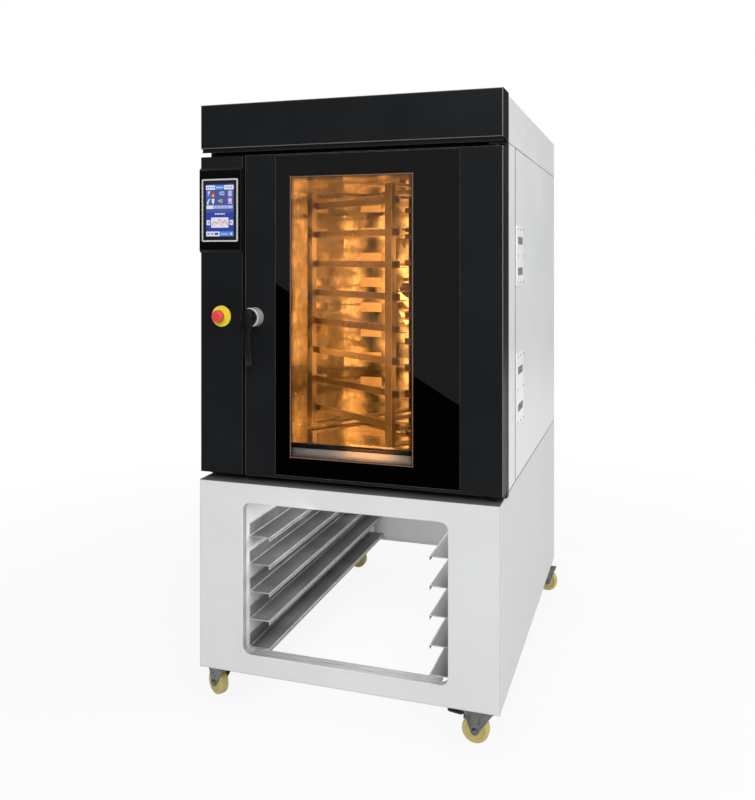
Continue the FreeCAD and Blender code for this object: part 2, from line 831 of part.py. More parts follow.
# Lamp covers on the right side, with two mesh windows each
cover_front = side_seam_depth + cover_setback
cover_rises = ((upper_cover_rise, upper_cover_height), (lower_cover_rise, lower_cover_height))
lamp_middle = cover_front + cover_length / 2
lamp_heights = [stand_top + rise + height / 2 for rise, height in cover_rises]


def lamp_block(x0, x1, length, height, z):
    return block(x0, x1, lamp_middle - length / 2, lamp_middle + length / 2, z - height / 2, z + height / 2)


def lamp_covers():
    covers = []
    for rise, height in cover_rises:
        z0 = stand_top + rise
        plate = block(half_width, half_width + cover_raise, cover_front, cover_front + cover_length,
                      z0, z0 + height)
        plate = plate.makeFillet(cover_edge_radius, edges_along(plate, Vector(1, 0, 0)))
        for share in (cover_window_share, 1 - cover_window_share):
            z = z0 + height * share
            plate = plate.cut(lamp_block(half_width - cut_overrun, half_width + cover_raise + cut_overrun,
                                         cover_window_length, cover_window_height, z))
        covers.append(plate)
    return Part.makeCompound(covers)


# Cooking chamber
def chamber_floor():
    plate = block(chamber_left, chamber_right, frame_back, fan_wall_y,
                  chamber_floor_z - sheet, chamber_floor_z)
    middle = Vector(chamber_offset, rack_y, chamber_floor_z)
    flange = rod(pivot_stub_flange_radius, middle, middle + Vector(0, 0, pivot_stub_flange_height))
    stub = rod(pivot_stub_radius, middle, middle + Vector(0, 0, rack_floor_gap + frame_bar_height))
    return fuse([plate, flange, stub])


def chamber_ceiling():
    plate = block(chamber_left, chamber_right, frame_back, fan_wall_y,
                  chamber_ceiling_z, chamber_ceiling_z + sheet)
    middle = Vector(chamber_offset, rack_y, chamber_ceiling_z)
    hole = rod(rack_shaft_radius + sheet, middle + Vector(0, 0, -cut_overrun),
               middle + Vector(0, 0, sheet + cut_overrun))
    return plate.cut(hole)


def chamber_side_walls():
    # Plain on the left; the right wall has a rounded window in front of each lamp.
    bottom = chamber_floor_z - sheet
    top = chamber_ceiling_z + sheet
    left = block(chamber_left - sheet, chamber_left, frame_back, fan_wall_y, bottom, top)
    right = block(chamber_right, chamber_right + sheet, frame_back, fan_wall_y, bottom, top)
    for z in lamp_heights:
        window = lamp_block(chamber_right - cut_overrun, chamber_right + sheet + cut_overrun,
                            lamp_window_length, lamp_window_height, z)
        right = right.cut(window.makeFillet(lamp_window_radius, edges_along(window, Vector(1, 0, 0))))
    return Part.makeCompound([left, right])


def chamber_baffle():
    # A sheet with a column of air slots on each side and a barred fan inlet in the middle.
    plate = block(chamber_left, chamber_right, baffle_y, baffle_y + sheet, chamber_floor_z, chamber_ceiling_z)
    cuts = []
    for level in range(rack_levels):
        z = chamber_floor_z + rack_first_level + level * rack_pitch + slot_rise
        for x0 in (chamber_left + slot_inset, chamber_right - slot_inset - slot_length):
            cuts.append(block(x0, x0 + slot_length, baffle_y - cut_overrun, baffle_y + sheet + cut_overrun,
                              z - slot_height / 2, z + slot_height / 2))
    centre = Vector(chamber_offset, baffle_y - cut_overrun, fan_z)
    inlet = rod(inlet_radius, centre, centre + Vector(0, sheet + 2 * cut_overrun, 0))
    bars = []
    for index in range(inlet_bar_count):
        z = fan_z + inlet_radius * (2 * (index + 1) / (inlet_bar_count + 1) - 1)
        bars.append(block(chamber_offset - inlet_radius, chamber_offset + inlet_radius,
                          baffle_y - cut_overrun, baffle_y + sheet + cut_overrun,
                          z - inlet_bar_width / 2, z + inlet_bar_width / 2))
    cuts.append(inlet.cut(Part.makeCompound(bars)))
    return plate.cut(Part.makeCompound(cuts))


def chamber_rear_wall():
    plate = block(chamber_left, chamber_right, fan_wall_y - sheet, fan_wall_y,
                  chamber_floor_z, chamber_ceiling_z)
    centre = Vector(chamber_offset, fan_wall_y, fan_z)
    hole = rod(fan_shaft_radius + sheet, centre + Vector(0, -sheet - cut_overrun, 0),
               centre + Vector(0, cut_overrun, 0))
    return plate.cut(hole)


def chamber_supports():
    supports = []
    top = chamber_floor_z - sheet
    for middle in (frame_back + support_inset, fan_wall_y - support_inset):
        outer = block(chamber_left, chamber_right, middle - support_width / 2, middle + support_width / 2,
                      base_top, top)
        inner = block(chamber_left - cut_overrun, chamber_right + cut_overrun,
                      middle - support_width / 2 + sheet, middle + support_width / 2 - sheet,
                      base_top - cut_overrun, top - sheet)
        supports.append(outer.cut(inner))
    return Part.makeCompound(supports)


def chamber_lamps():
    # Open lamp boxes on the outside of the right chamber wall, each with a glass pane behind its window.
    lamps = []
    x0 = chamber_right + sheet
    x1 = x0 + lamp_depth
    for z in lamp_heights:
        housing = lamp_block(x0, x1, lamp_length, lamp_height, z)
        housing = housing.makeFillet(lamp_corner_radius, edges_along(housing, Vector(1, 0, 0)))
        inside = lamp_block(x0 - cut_overrun, x1 - sheet, lamp_length - 2 * sheet, lamp_height - 2 * sheet, z)
        inside = inside.makeFillet(lamp_corner_radius - sheet, edges_along(inside, Vector(1, 0, 0)))
        lamps.append(housing.cut(inside))
        lamps.append(lamp_block(x0, x0 + lamp_pane, lamp_window_length + 2 * lamp_pane_margin,
                                lamp_window_height + 2 * lamp_pane_margin, z))
    return Part.makeCompound(lamps)


def temperature_probe():
    place = Vector(chamber_offset - probe_offset, baffle_y, chamber_ceiling_z - probe_drop)
    nut = rod(probe_nut_radius, place + Vector(0, -probe_nut_height, 0), place)
    stem = rod(probe_radius, place + Vector(0, -probe_nut_height - probe_length, 0),
               place + Vector(0, -probe_nut_height, 0))
    return fuse([nut, stem])


# Fan, motor and heater
impeller_back = fan_wall_y - sheet - fan_wall_gap


def fan_blade():
    # One backward-curved blade between two arcs, drawn round the Y axis.
    def polar(radius, angle):
        return Vector(radius * math.cos(angle), 0, radius * math.sin(angle))

    tip = impeller_radius - blade_sheet
    sweep = math.radians(-blade_sweep)
    middle = (blade_root_radius + tip) / 2
    bow = sweep / 2 + math.radians(blade_bow)
    turn = blade_sheet / middle
    front = Part.Arc(polar(blade_root_radius, 0), polar(middle, bow), polar(tip, sweep)).toShape()
    back = Part.Arc(polar(blade_root_radius, turn), polar(middle, bow + turn),
                    polar(tip, sweep + turn)).toShape()
    root = Part.makeLine(polar(blade_root_radius, 0), polar(blade_root_radius, turn))
    end = Part.makeLine(polar(tip, sweep), polar(tip, sweep + turn))
    section = Part.Face(Part.Wire(Part.__sortEdges__([front, end, back, root])))
    return section.extrude(Vector(0, blade_depth, 0))


def fan_impeller():
    axis = Vector(0, 1, 0)
    plate_front = impeller_back - impeller_plate
    plate = rod(impeller_radius, Vector(0, plate_front, 0), Vector(0, impeller_back, 0))
    hub = rod(impeller_hub_radius, Vector(0, plate_front - blade_depth / 2, 0), Vector(0, impeller_back, 0))
    shaft = rod(fan_shaft_radius, Vector(0, plate_front, 0), Vector(0, fan_wall_y + fan_shaft_reach, 0))
    pieces = [plate, hub, shaft]
    for index in range(blade_count):
        blade = fan_blade()
        blade.translate(Vector(0, plate_front - blade_depth, 0))
        blade.rotate(Vector(0, 0, 0), axis, index * 360.0 / blade_count)
        pieces.append(blade)
    fan = fuse(pieces)
    fan.translate(Vector(chamber_offset, 0, fan_z))
    return fan


def fan_motor():
    centre = Vector(chamber_offset, fan_wall_y, fan_z)
    flange = rod(motor_flange_radius, centre, centre + Vector(0, motor_flange_sheet, 0))
    body = rod(motor_radius, centre + Vector(0, motor_flange_sheet, 0), centre + Vector(0, motor_length, 0))
    bore = rod(fan_shaft_radius + bore_clearance, centre + Vector(0, -cut_overrun, 0),
               centre + Vector(0, fan_shaft_reach + running_gap, 0))
    return fuse([flange, body]).cut(bore)


def heating_element():
    # Closed rings of tube round the impeller, held by clips that stand on the rear wall.
    pieces = []
    first = fan_wall_y - sheet - heater_pitch
    for turn in range(heater_turns):
        centre = Vector(chamber_offset, first - turn * heater_pitch, fan_z)
        pieces.append(Part.makeTorus(heater_radius, heater_tube_radius, centre, Vector(0, 1, 0)))
    last = first - (heater_turns - 1) * heater_pitch
    for side in (-1, 1):
        x0 = chamber_offset + side * heater_radius - heater_clip_sheet / 2
        pieces.append(block(x0, x0 + heater_clip_sheet, last, fan_wall_y - sheet,
                            fan_z - heater_clip_width / 2, fan_z + heater_clip_width / 2))
    return fuse(pieces)


# Turning rack
rack_bottom = chamber_floor_z + rack_floor_gap
rack_top = chamber_ceiling_z - rack_top_gap
rack_middle = Vector(chamber_offset, rack_y, 0)


def on_rack(shape):
    placed = shape.copy()
    placed.rotate(Vector(0, 0, 0), Vector(0, 0, 1), rack_heading)
    placed.translate(rack_middle)
    return placed


def rack_posts():
    # Channel posts with their open sides facing each other across the tray.
    posts = []
    for x_side in (-1, 1):
        for y_side in (-1, 1):
            x = x_side * rack_length / 2
            y0 = y_side * rack_span / 2
            y1 = y_side * (rack_span / 2 + post_depth)
            web = y_side * (rack_span / 2 + post_depth - post_sheet)
            post = block(x - post_width / 2, x + post_width / 2, min(y0, y1), max(y0, y1),
                         rack_bottom, rack_top)
            near = y0 - y_side * cut_overrun
            trough = block(x - post_width / 2 + post_sheet, x + post_width / 2 - post_sheet,
                           min(near, web), max(near, web), rack_bottom - cut_overrun, rack_top + cut_overrun)
            posts.append(on_rack(post.cut(trough)))
    return Part.makeCompound(posts)


def rack_end_frame(z0):
    # A long bar and two cross bars round a hub plate, the cross bars ending inside the posts.
    z1 = z0 + frame_bar_height
    web = rack_span / 2 + post_depth - post_sheet
    bars = [block(-rack_length / 2 - post_width / 2, rack_length / 2 + post_width / 2,
                  -frame_bar / 2, frame_bar / 2, z0, z1)]
    for side in (-1, 1):
        x = side * rack_length / 2
        bars.append(block(x - frame_bar / 2, x + frame_bar / 2, -web, web, z0, z1))
    bars.append(rod(rack_hub_radius, Vector(0, 0, z0), Vector(0, 0, z1)))
    return fuse(bars)


def rack_frames():
    lower = rack_end_frame(rack_bottom)
    bore = rod(pivot_stub_radius + bore_clearance, Vector(0, 0, rack_bottom - cut_overrun),
               Vector(0, 0, rack_bottom + frame_bar_height + cut_overrun))
    upper = rack_end_frame(rack_top - frame_bar_height)
    shaft = rod(rack_shaft_radius, Vector(0, 0, rack_top - frame_bar_height),
                Vector(0, 0, chamber_ceiling_z + sheet + rack_shaft_grip))
    return Part.makeCompound([on_rack(lower.cut(bore)), on_rack(fuse([upper, shaft]))])


def rack_runners(side):
    runners = []
    wall = side * rack_span / 2
    face = wall - side * rack_runner_sheet
    edge = wall - side * rack_ledge
    for level in range(rack_levels):
        z = chamber_floor_z + rack_first_level + level * rack_pitch
        profile = [
            Vector(-rack_runner_length / 2, wall, z + rack_upright),
            Vector(-rack_runner_length / 2, wall, z - rack_runner_sheet),
            Vector(-rack_runner_length / 2, edge, z - rack_runner_sheet),
            Vector(-rack_runner_length / 2, edge, z),
            Vector(-rack_runner_length / 2, face, z),
            Vector(-rack_runner_length / 2, face, z + rack_upright),
        ]
        runners.append(on_rack(prism(profile, Vector(rack_runner_length, 0, 0))))
    return Part.makeCompound(runners)


def rack_gearmotor():
    z0 = chamber_ceiling_z + sheet
    box = block(-gearbox_width / 2, gearbox_width / 2, -gearbox_width / 2, gearbox_width / 2,
                z0, z0 + gearbox_height)
    motor = rod(gearmotor_radius, Vector(0, gearbox_width / 2, z0 + gearmotor_radius),
                Vector(0, gearbox_width / 2 + gearmotor_length, z0 + gearmotor_radius))
    bore = rod(rack_shaft_radius + bore_clearance, Vector(0, 0, z0 - cut_overrun),
               Vector(0, 0, z0 + rack_shaft_grip + running_gap))
    drive = fuse([box, motor]).cut(bore)
    drive.translate(rack_middle)
    return drive


# Door
rail_front = glass_back
rail_back = door_back - sheet


def hollow_stile(x0, x1, outer_x):
    stile = block(x0, x1, door_front, door_back, door_bottom, door_top)
    edges = [edge for edge in edges_along(stile, Vector(0, 0, 1))
             if edge.Vertexes[0].Y < door_front + sheet and abs(edge.Vertexes[0].X - outer_x) < sheet]
    stile = stile.makeFillet(door_edge_radius, edges)
    inside = block(x0 + sheet, x1 - sheet, door_front + sheet, door_back - sheet,
                   door_bottom - cut_overrun, door_top - sheet)
    edges = [edge for edge in edges_along(inside, Vector(0, 0, 1))
             if edge.Vertexes[0].Y < door_front + 2 * sheet and abs(edge.Vertexes[0].X - outer_x) < 2 * sheet]
    return stile.cut(inside.makeFillet(door_edge_radius - sheet, edges))


def door_frame():
    # Two hollow stiles joined by open channel rails, with pivot blocks in the hinge stile.
    left = hollow_stile(door_left, glass_left, door_left)
    right = hollow_stile(glass_right, door_right, door_right)
    top = block(glass_left, glass_right, rail_front, rail_back, door_top - door_rail_height, door_top)
    top = top.cut(block(glass_left, glass_right, rail_front + sheet, rail_back - sheet,
                        door_top - door_rail_height - cut_overrun, door_top - sheet))
    top_lip = block(glass_left, glass_right, door_front, rail_front, door_top - rail_lip_top, door_top)
    bottom = block(glass_left, glass_right, rail_front, rail_back,
                   door_bottom, door_bottom + door_rail_height)
    bottom = bottom.cut(block(glass_left, glass_right, rail_front + sheet, rail_back - sheet,
                              door_bottom + sheet, door_bottom + door_rail_height + cut_overrun))
    bottom_lip = block(glass_left, glass_right, door_front, rail_front,
                       door_bottom, door_bottom + rail_lip_bottom)
    pieces = [left, right, top, top_lip, bottom, bottom_lip]
    half = pivot_block_width / 2
    holes = []
    for z0, inward in ((door_bottom, 1), (door_top, -1)):
        z1 = z0 + inward * pivot_block_height
        pieces.append(block(pivot_x - half, pivot_x + half, pivot_y - half, pivot_y + half,
                            min(z0, z1), max(z0, z1)))
        start = Vector(pivot_x, pivot_y, z0 - inward * cut_overrun)
        holes.append(rod(pivot_radius + bore_clearance, start,
                         Vector(pivot_x, pivot_y, z0 + inward * (pivot_depth + running_gap))))
    spindle_hole = rod(spindle_radius + bore_clearance, Vector(handle_x, door_front - cut_overrun, handle_z),
                       Vector(handle_x, door_back + cut_overrun, handle_z))
    return fuse(pieces).cut(Part.makeCompound(holes + [spindle_hole]))


def door_outer_glass():
    return block(glass_left, glass_right, door_front, glass_back,
                 door_bottom + rail_lip_bottom, door_top - rail_lip_top)


def door_inner_frame():
    plate = block(glass_left, glass_right, rail_back, door_back, door_bottom + sheet, door_top - sheet)
    return plate.cut(block(inner_opening_left, inner_opening_right, rail_back - cut_overrun,
                           door_back + cut_overrun, inner_opening_bottom, inner_opening_top))


def door_inner_glass():
    return block(inner_opening_left - inner_glass_margin, inner_opening_right + inner_glass_margin,
                 rail_back - inner_glass_thickness, rail_back,
                 inner_opening_bottom - inner_glass_margin, inner_opening_top + inner_glass_margin)


def door_gasket():
    reach = gasket_margin + gasket_width
    return ring_slab(mouth_left - reach, mouth_right + reach, door_back, frame_front - running_gap,
                     chamber_floor_z - reach, chamber_ceiling_z + reach, gasket_radius, gasket_width)


def hinge_brackets():
    # A plate with an upright against the front frame and a pivot pin, above and below the door.
    half = hinge_plate_width / 2
    brackets = []
    for edge_z, inward in ((door_bottom, 1), (door_top, -1)):
        near = edge_z - inward * running_gap
        plate_z = near - inward * hinge_plate_sheet
        collar = rod(hinge_collar_radius, Vector(pivot_x, pivot_y, plate_z), Vector(pivot_x, pivot_y, near))
        plate_far = plate_z - inward * hinge_plate_sheet
        plate = block(pivot_x - half, pivot_x + half, pivot_y - half / 2, frame_front,
                      min(plate_z, plate_far), max(plate_z, plate_far))
        upright_end = plate_z - inward * hinge_upright_height
        upright = block(pivot_x - half, pivot_x + half, frame_front - hinge_upright_sheet, frame_front,
                        min(plate_z, upright_end), max(plate_z, upright_end))
        pin = rod(pivot_radius, Vector(pivot_x, pivot_y, plate_far),
                  Vector(pivot_x, pivot_y, edge_z + inward * pivot_depth))
        brackets.append(fuse([collar, plate, upright, pin]))
    return Part.makeCompound(brackets)


# Handle and latch
def handle_rose():
    front = door_front - rose_height
    disc = rod(rose_radius, Vector(handle_x, front, handle_z), Vector(handle_x, door_front, handle_z))
    rim = [edge for edge in disc.Edges if abs(edge.BoundBox.YMax - front) < bore_clearance]
    disc = disc.makeFillet(rose_bevel, rim)
    bore = rod(spindle_radius + bore_clearance, Vector(handle_x, front - cut_overrun, handle_z),
               Vector(handle_x, door_front + cut_overrun, handle_z))
    return disc.cut(bore)


def handle_lever():
    # A collar and a hanging lever, lofted through ellipses that narrow and curl back towards the door.
    collar = rod(collar_radius, Vector(handle_x, hub_back - collar_reach, handle_z),
                 Vector(handle_x, hub_back, handle_z))
    rim = [edge for edge in collar.Edges if edge.BoundBox.YMax < hub_back - collar_reach / 2]
    collar = collar.makeFillet(collar_round, rim)
    sections = []
    for index, station in enumerate(lever_station_shares):
        half_x = lever_width * lever_width_shares[index] / 2
        half_y = lever_depth * lever_depth_shares[index] / 2
        centre = Vector(handle_x, hub_back - lever_depth * lever_standoff_shares[index],
                        handle_z - lever_length * station)
        ellipse = Part.Ellipse(centre + Vector(half_x, 0, 0), centre + Vector(0, half_y, 0), centre)
        sections.append(Part.Wire([ellipse.toShape()]))
    arm = Part.makeLoft(sections, True, False)
    return fuse([collar, arm])


def latch_tongue():
    # The spindle through the stile and the tongue behind the front frame.
    tongue_front = frame_front + sheet + tongue_play
    end = tongue_front + tongue_sheet
    spindle = rod(spindle_radius, Vector(handle_x, hub_back, handle_z), Vector(handle_x, end, handle_z))
    bar = block(handle_x - tongue_width / 2, handle_x + tongue_width / 2, tongue_front, end,
                handle_z, handle_z + tongue_length)
    boss = rod(tongue_width / 2, Vector(handle_x, tongue_front, handle_z), Vector(handle_x, end, handle_z))
    return fuse([spindle, bar, boss])


# Pieces by name
pieces = {
    "stand_front_panel": stand_front_panel(),
    "stand_side_panels": Part.makeCompound([stand_side_panel(), mirrored(stand_side_panel())]),
    "stand_rear_panel": stand_rear_panel(),
    "stand_top_panel": stand_top_panel(),
    "stand_inner_walls": Part.makeCompound([inner_wall(), mirrored(inner_wall())]),
    "caster_rails": Part.makeCompound([caster_rail(), mirrored(caster_rail())]),
    "tray_runners_right": tray_runners(),
    "tray_runners_left": mirrored(tray_runners()),
    "base_panel": base_panel(),
    "right_side_panels": right_side_panels(),
    "left_side_panels": mirrored(right_side_panels()),
    "rear_panel": rear_panel(),
    "cable_gland": cable_gland(),
    "front_frame": front_frame(),
    "latch_keeper": latch_keeper(),
    "hood_shell": hood_shell(),
    "hood_fascia": hood_fascia(),
    "control_column": control_column(),
    "screen_housing": screen_housing(),
    "screen_bezel": screen_bezel(),
    "display_glass": display_glass(),
    "stop_plate": stop_plate(),
    "stop_plunger": stop_plunger(),
    "stop_head": stop_head(),
    "lamp_covers": lamp_covers(),
    "chamber_floor": chamber_floor(),
    "chamber_ceiling": chamber_ceiling(),
    "chamber_side_walls": chamber_side_walls(),
    "chamber_baffle": chamber_baffle(),
    "chamber_rear_wall": chamber_rear_wall(),
    "chamber_supports": chamber_supports(),
    "chamber_lamps": chamber_lamps(),
    "temperature_probe": temperature_probe(),
    "fan_impeller": fan_impeller(),
    "fan_motor": fan_motor(),
    "heating_element": heating_element(),
    "rack_posts": rack_posts(),
    "rack_frames": rack_frames(),
    "rack_runners_near": rack_runners(-1),
    "rack_runners_far": rack_runners(1),
    "rack_gearmotor": rack_gearmotor(),
    "door_frame": door_frame(),
    "door_outer_glass": door_outer_glass(),
    "door_inner_frame": door_inner_frame(),
    "door_inner_glass": door_inner_glass(),
    "door_gasket": door_gasket(),
    "hinge_brackets": hinge_brackets(),
    "handle_rose": handle_rose(),
    "handle_lever": handle_lever(),
    "latch_tongue": latch_tongue(),
}

plates = []
for corner, place in caster_places.items():
    plate = caster_plate()
    plate.translate(place)
    plates.append(plate)
    fittings = [caster_fork(), caster_axle()]
    if corner == braked_corner:
        fittings.append(pedal_pin())
        pieces["brake_pedal"] = on_caster(brake_pedal(), corner)
    pieces["caster_fork_" + corner] = on_caster(Part.makeCompound(fittings), corner)
    pieces["caster_wheel_" + corner] = on_caster(caster_wheel(), corner)
pieces["caster_plates"] = Part.makeCompound(plates)

os.makedirs("parts", exist_ok=True)
for name, shape in pieces.items():
    shape.translate(Vector(0, depth_shift, 0))
    shape.exportStep(os.path.join("parts", name + ".step"))
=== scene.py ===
import math

import bmesh
import bpy
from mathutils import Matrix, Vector


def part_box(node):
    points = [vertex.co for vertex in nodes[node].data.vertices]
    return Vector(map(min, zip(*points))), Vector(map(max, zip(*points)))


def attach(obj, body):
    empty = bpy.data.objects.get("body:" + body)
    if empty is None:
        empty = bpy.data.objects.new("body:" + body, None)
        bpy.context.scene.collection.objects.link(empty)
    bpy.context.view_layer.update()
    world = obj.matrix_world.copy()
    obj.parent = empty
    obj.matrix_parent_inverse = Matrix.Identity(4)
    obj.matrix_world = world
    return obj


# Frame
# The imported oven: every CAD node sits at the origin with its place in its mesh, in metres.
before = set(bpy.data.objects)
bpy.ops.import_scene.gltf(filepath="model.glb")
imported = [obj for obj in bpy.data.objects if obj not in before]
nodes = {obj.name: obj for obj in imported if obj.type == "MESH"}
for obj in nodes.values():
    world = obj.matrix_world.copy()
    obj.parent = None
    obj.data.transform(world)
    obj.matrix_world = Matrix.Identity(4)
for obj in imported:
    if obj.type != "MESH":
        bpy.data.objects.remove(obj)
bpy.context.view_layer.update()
scene = bpy.context.scene
scene.view_settings.view_transform = "Standard"


# Studio floor and surround
# A pale floor and a white surround. They show white to the lens, in gloss and through glass,
# and the floor keeps the shadow that the oven throws on it.
def grey(level):
    return (level, level, level)


def feed(node, sockets):
    """Sets each socket to its value, or links it to another node's output or to a list of outputs."""
    for name, value in sockets.items():
        socket = node.inputs[name]
        sources = value if isinstance(value, list) else [value]
        if isinstance(sources[0], bpy.types.NodeSocket):
            for source in sources:
                node.id_data.links.new(source, socket)
        else:
            socket.default_value = (*value, 1.0) if socket.type == "RGBA" else value


def place(tree, kind, sockets=None, **options):
    """Adds a node, sets its options, feeds its sockets and gives its outputs."""
    node = tree.nodes.new(kind)
    for name, value in options.items():
        setattr(node, name, value)
    feed(node, sockets or {})
    return node.outputs


def maths(operation, first, second):
    """Works on two values, in the node tree that the first one comes from."""
    return place(first.id_data, "ShaderNodeMath", {0: first, 1: second}, operation=operation)[0]


def spread(value, low, high, start=0.0, end=1.0):
    """Maps a value that runs from start to end onto low to high."""
    return place(value.id_data, "ShaderNodeMapRange", {
        "Value": value, "From Min": start, "From Max": end, "To Min": low, "To Max": high})[0]


def object_spot(tree):
    return place(tree, "ShaderNodeTexCoord")["Object"]


def new_material(name):
    material = bpy.data.materials.new(name)
    material.use_nodes = True
    return material, material.node_tree, material.node_tree.nodes["Principled BSDF"]


def blend_surface(tree, share, first, second):
    """Shows the first shader where share is 0 and the second where it is 1."""
    mixed = place(tree, "ShaderNodeMixShader", {0: share, 1: first[0], 2: second[0]})
    feed(tree.nodes["Material Output"], {"Surface": mixed[0]})


def seen_directly(tree):
    """1 where the lens, a reflection or a glass pane looks at the surface, else 0."""
    path = place(tree, "ShaderNodeLightPath")
    plain = maths("MAXIMUM", path["Is Camera Ray"], path["Is Glossy Ray"])
    return maths("MAXIMUM", plain, path["Is Transmission Ray"])


def new_object(name, data):
    item = bpy.data.objects.new(name, data)
    scene.collection.objects.link(item)
    return item


def mesh_from(name, builder):
    """A mesh that builder(bm) fills, with its faces turned outwards."""
    bm = bmesh.new()
    builder(bm)
    bmesh.ops.recalc_face_normals(bm, faces=bm.faces)
    mesh = bpy.data.meshes.new(name)
    bm.to_mesh(mesh)
    bm.free()
    return mesh


white = grey(1.0)
floor_tone = grey(0.72)
floor_rough = 0.9
floor_reach = 14.0
floor_cells = 4
floor_white_share = 0.89
floor_fade_start = 1.4
floor_fade_end = 3.2
surround_level = 0.6


def floor_sheet(bm):
    bmesh.ops.create_grid(bm, x_segments=floor_cells, y_segments=floor_cells, size=floor_reach)


floor = new_object("studio_floor", mesh_from("studio_floor", floor_sheet))
floor_paint, tree, shader = new_material("studio_floor_white")
feed(shader, {"Base Color": floor_tone, "Roughness": floor_rough, "Specular IOR Level": 0.0})
glow = place(tree, "ShaderNodeEmission", {"Color": white, "Strength": 1.0})
away = place(tree, "ShaderNodeVectorMath", {0: object_spot(tree)}, operation="LENGTH")["Value"]
fade = spread(away, floor_white_share, 1.0, floor_fade_start, floor_fade_end)
blend_surface(tree, maths("MULTIPLY", seen_directly(tree), fade), shader.outputs, glow)
floor.data.materials.append(floor_paint)

world = bpy.data.worlds.new("white_surround")
scene.world = world
world.use_nodes = True
tree = world.node_tree
level = spread(seen_directly(tree), surround_level, 1.0)
feed(tree.nodes["Background"], {"Color": white, "Strength": level})


# Studio lamps and cards
# Soft boxes light the front, the right side and the top evenly.
# Dark cards in front, at the sides, on the floor and behind keep the black panels dark in gloss, and a
# grey card with a sloping edge gives the door glass its pale upper half. Only reflections see the cards.
def soft_box(name, spot, aim, width, height, watts):
    lamp = bpy.data.lights.new(name, "AREA")
    lamp.shape = "RECTANGLE"
    lamp.size = width
    lamp.size_y = height
    lamp.energy = watts
    holder = new_object(name, lamp)
    holder.location = spot
    holder.rotation_euler = (Vector(aim) - Vector(spot)).to_track_quat("-Z", "Y").to_euler()
    return holder


# Each soft box: name, place, aim, width, height and watts.
soft_boxes = (
    ("soft_box_front", (1.6, -4.4, 3.4), (0.0, -0.6, 0.9), 2.6, 2.0, 104.0),
    ("soft_box_right", (4.6, -0.6, 3.4), (0.4, 0.3, 1.8), 2.4, 1.6, 88.0),
    ("soft_box_top", (0.0, 0.6, 4.6), (0.0, 0.0, 1.0), 2.6, 2.6, 24.0))
for row in soft_boxes:
    soft_box(*row)

card_tone = (0.94, 1.0, 0.96)
card_reach = 7.0
card_top = 6.0
card_foot = 0.01
front_card_place = -3.36
side_card_place = 3.4
floor_card_end = -2.5
back_card_start = 0.9
back_card_glow = 0.12
grey_card_gap = 0.02
grey_card_glow = 0.34
grey_card_foot = 0.33
grey_card_left_foot = 4.7
grey_card_edge = ((-2.04, 1.585), (-1.18, 1.05), (-0.75, 0.79), (-0.25, 0.50), (0.02, grey_card_foot))


def rectangle(left, low, right, high):
    """The corners of a rectangle, in order."""
    return [(left, low), (right, low), (right, high), (left, high)]


def studio_card(name, corners, glow=0.0, outside=False):
    """A sheet that only mirrored rays see; with outside, only those that have not been through glass."""
    def face(bm):
        bm.faces.new([bm.verts.new(corner) for corner in corners])

    card = new_object(name, mesh_from(name, face))
    paint, tree, shader = new_material(name)
    path = place(tree, "ShaderNodeLightPath")
    mirrored = maths("MINIMUM", path["Glossy Depth"], 1.0)
    if outside:
        mirrored = maths("GREATER_THAN", mirrored, path["Transmission Depth"])
    clear = place(tree, "ShaderNodeBsdfTransparent")
    shade = place(tree, "ShaderNodeEmission", {"Color": card_tone, "Strength": glow})
    blend_surface(tree, mirrored, clear, shade)
    card.data.materials.append(paint)
    card.visible_camera = False
    card.visible_diffuse = False
    card.visible_shadow = False


studio_card("dark_card_front", [(x, front_card_place, z) for x, z in rectangle(
    -card_reach, card_foot, card_reach, card_top)])
grey_outline = ((-card_reach, grey_card_left_foot), *grey_card_edge, (card_reach, grey_card_foot),
                (card_reach, card_top), (-card_reach, card_top))
grey_corners = [(x, front_card_place + grey_card_gap, z) for x, z in grey_outline]
studio_card("grey_card", grey_corners, grey_card_glow, True)
for name, x in (("dark_card_left", -side_card_place), ("dark_card_right", side_card_place)):
    studio_card(name, [(x, y, z) for y, z in rectangle(front_card_place, card_foot, card_reach, card_top)])
studio_card("dark_card_floor", [(x, y, card_foot) for x, y in rectangle(
    -card_reach, front_card_place, card_reach, floor_card_end)])
studio_card("dark_card_back", [(x, card_reach, z) for x, z in rectangle(
    back_card_start, card_foot, side_card_place, card_top)], back_card_glow)

# Camera
# A level camera turned 18.1 degrees towards the oven's left, at the height of the screen.
# The frame is 755 by 800; the sensor has that shape, and the shift puts the horizon where the photo has it.
quarter_turn = math.radians(90)
image_width = 755
image_height = 800
horizon_row = 256.1
focal_pixels = 853.9
camera_turn = 18.1
camera_spot = (0.8937, -3.0412, 1.4098)
sensor_side = 36.0
view = bpy.data.cameras.new("photo_camera")
view.sensor_fit = "VERTICAL"
view.sensor_height = sensor_side
view.sensor_width = sensor_side * image_width / image_height
view.lens = sensor_side * focal_pixels / image_height
view.shift_y = (horizon_row - image_height / 2) / image_height
camera = new_object("photo_camera", view)
camera.location = camera_spot
camera.rotation_euler = (quarter_turn, 0, math.radians(camera_turn))
scene.camera = camera

# Light grey sheet metal
# Folded steel panels of the stand, the cabinet sides, the back and the hood.
# They carry a light grey powder coat: a fine orange peel, faint smudges, a painted near-white highlight along
# the edges and fillets, and painted shade in the joints' gaps.
bevel_samples = 4
grain_height = 0.0004
edge_break_scale = 60.0
noise_low = 0.3
noise_high = 0.7
coat_grain_scale = 700.0
coat_grain_depth = 0.12
coat_smudge_scale = 5.0
coat_edge_radius = 0.0012
seam_shade_tone = grey(0.012)


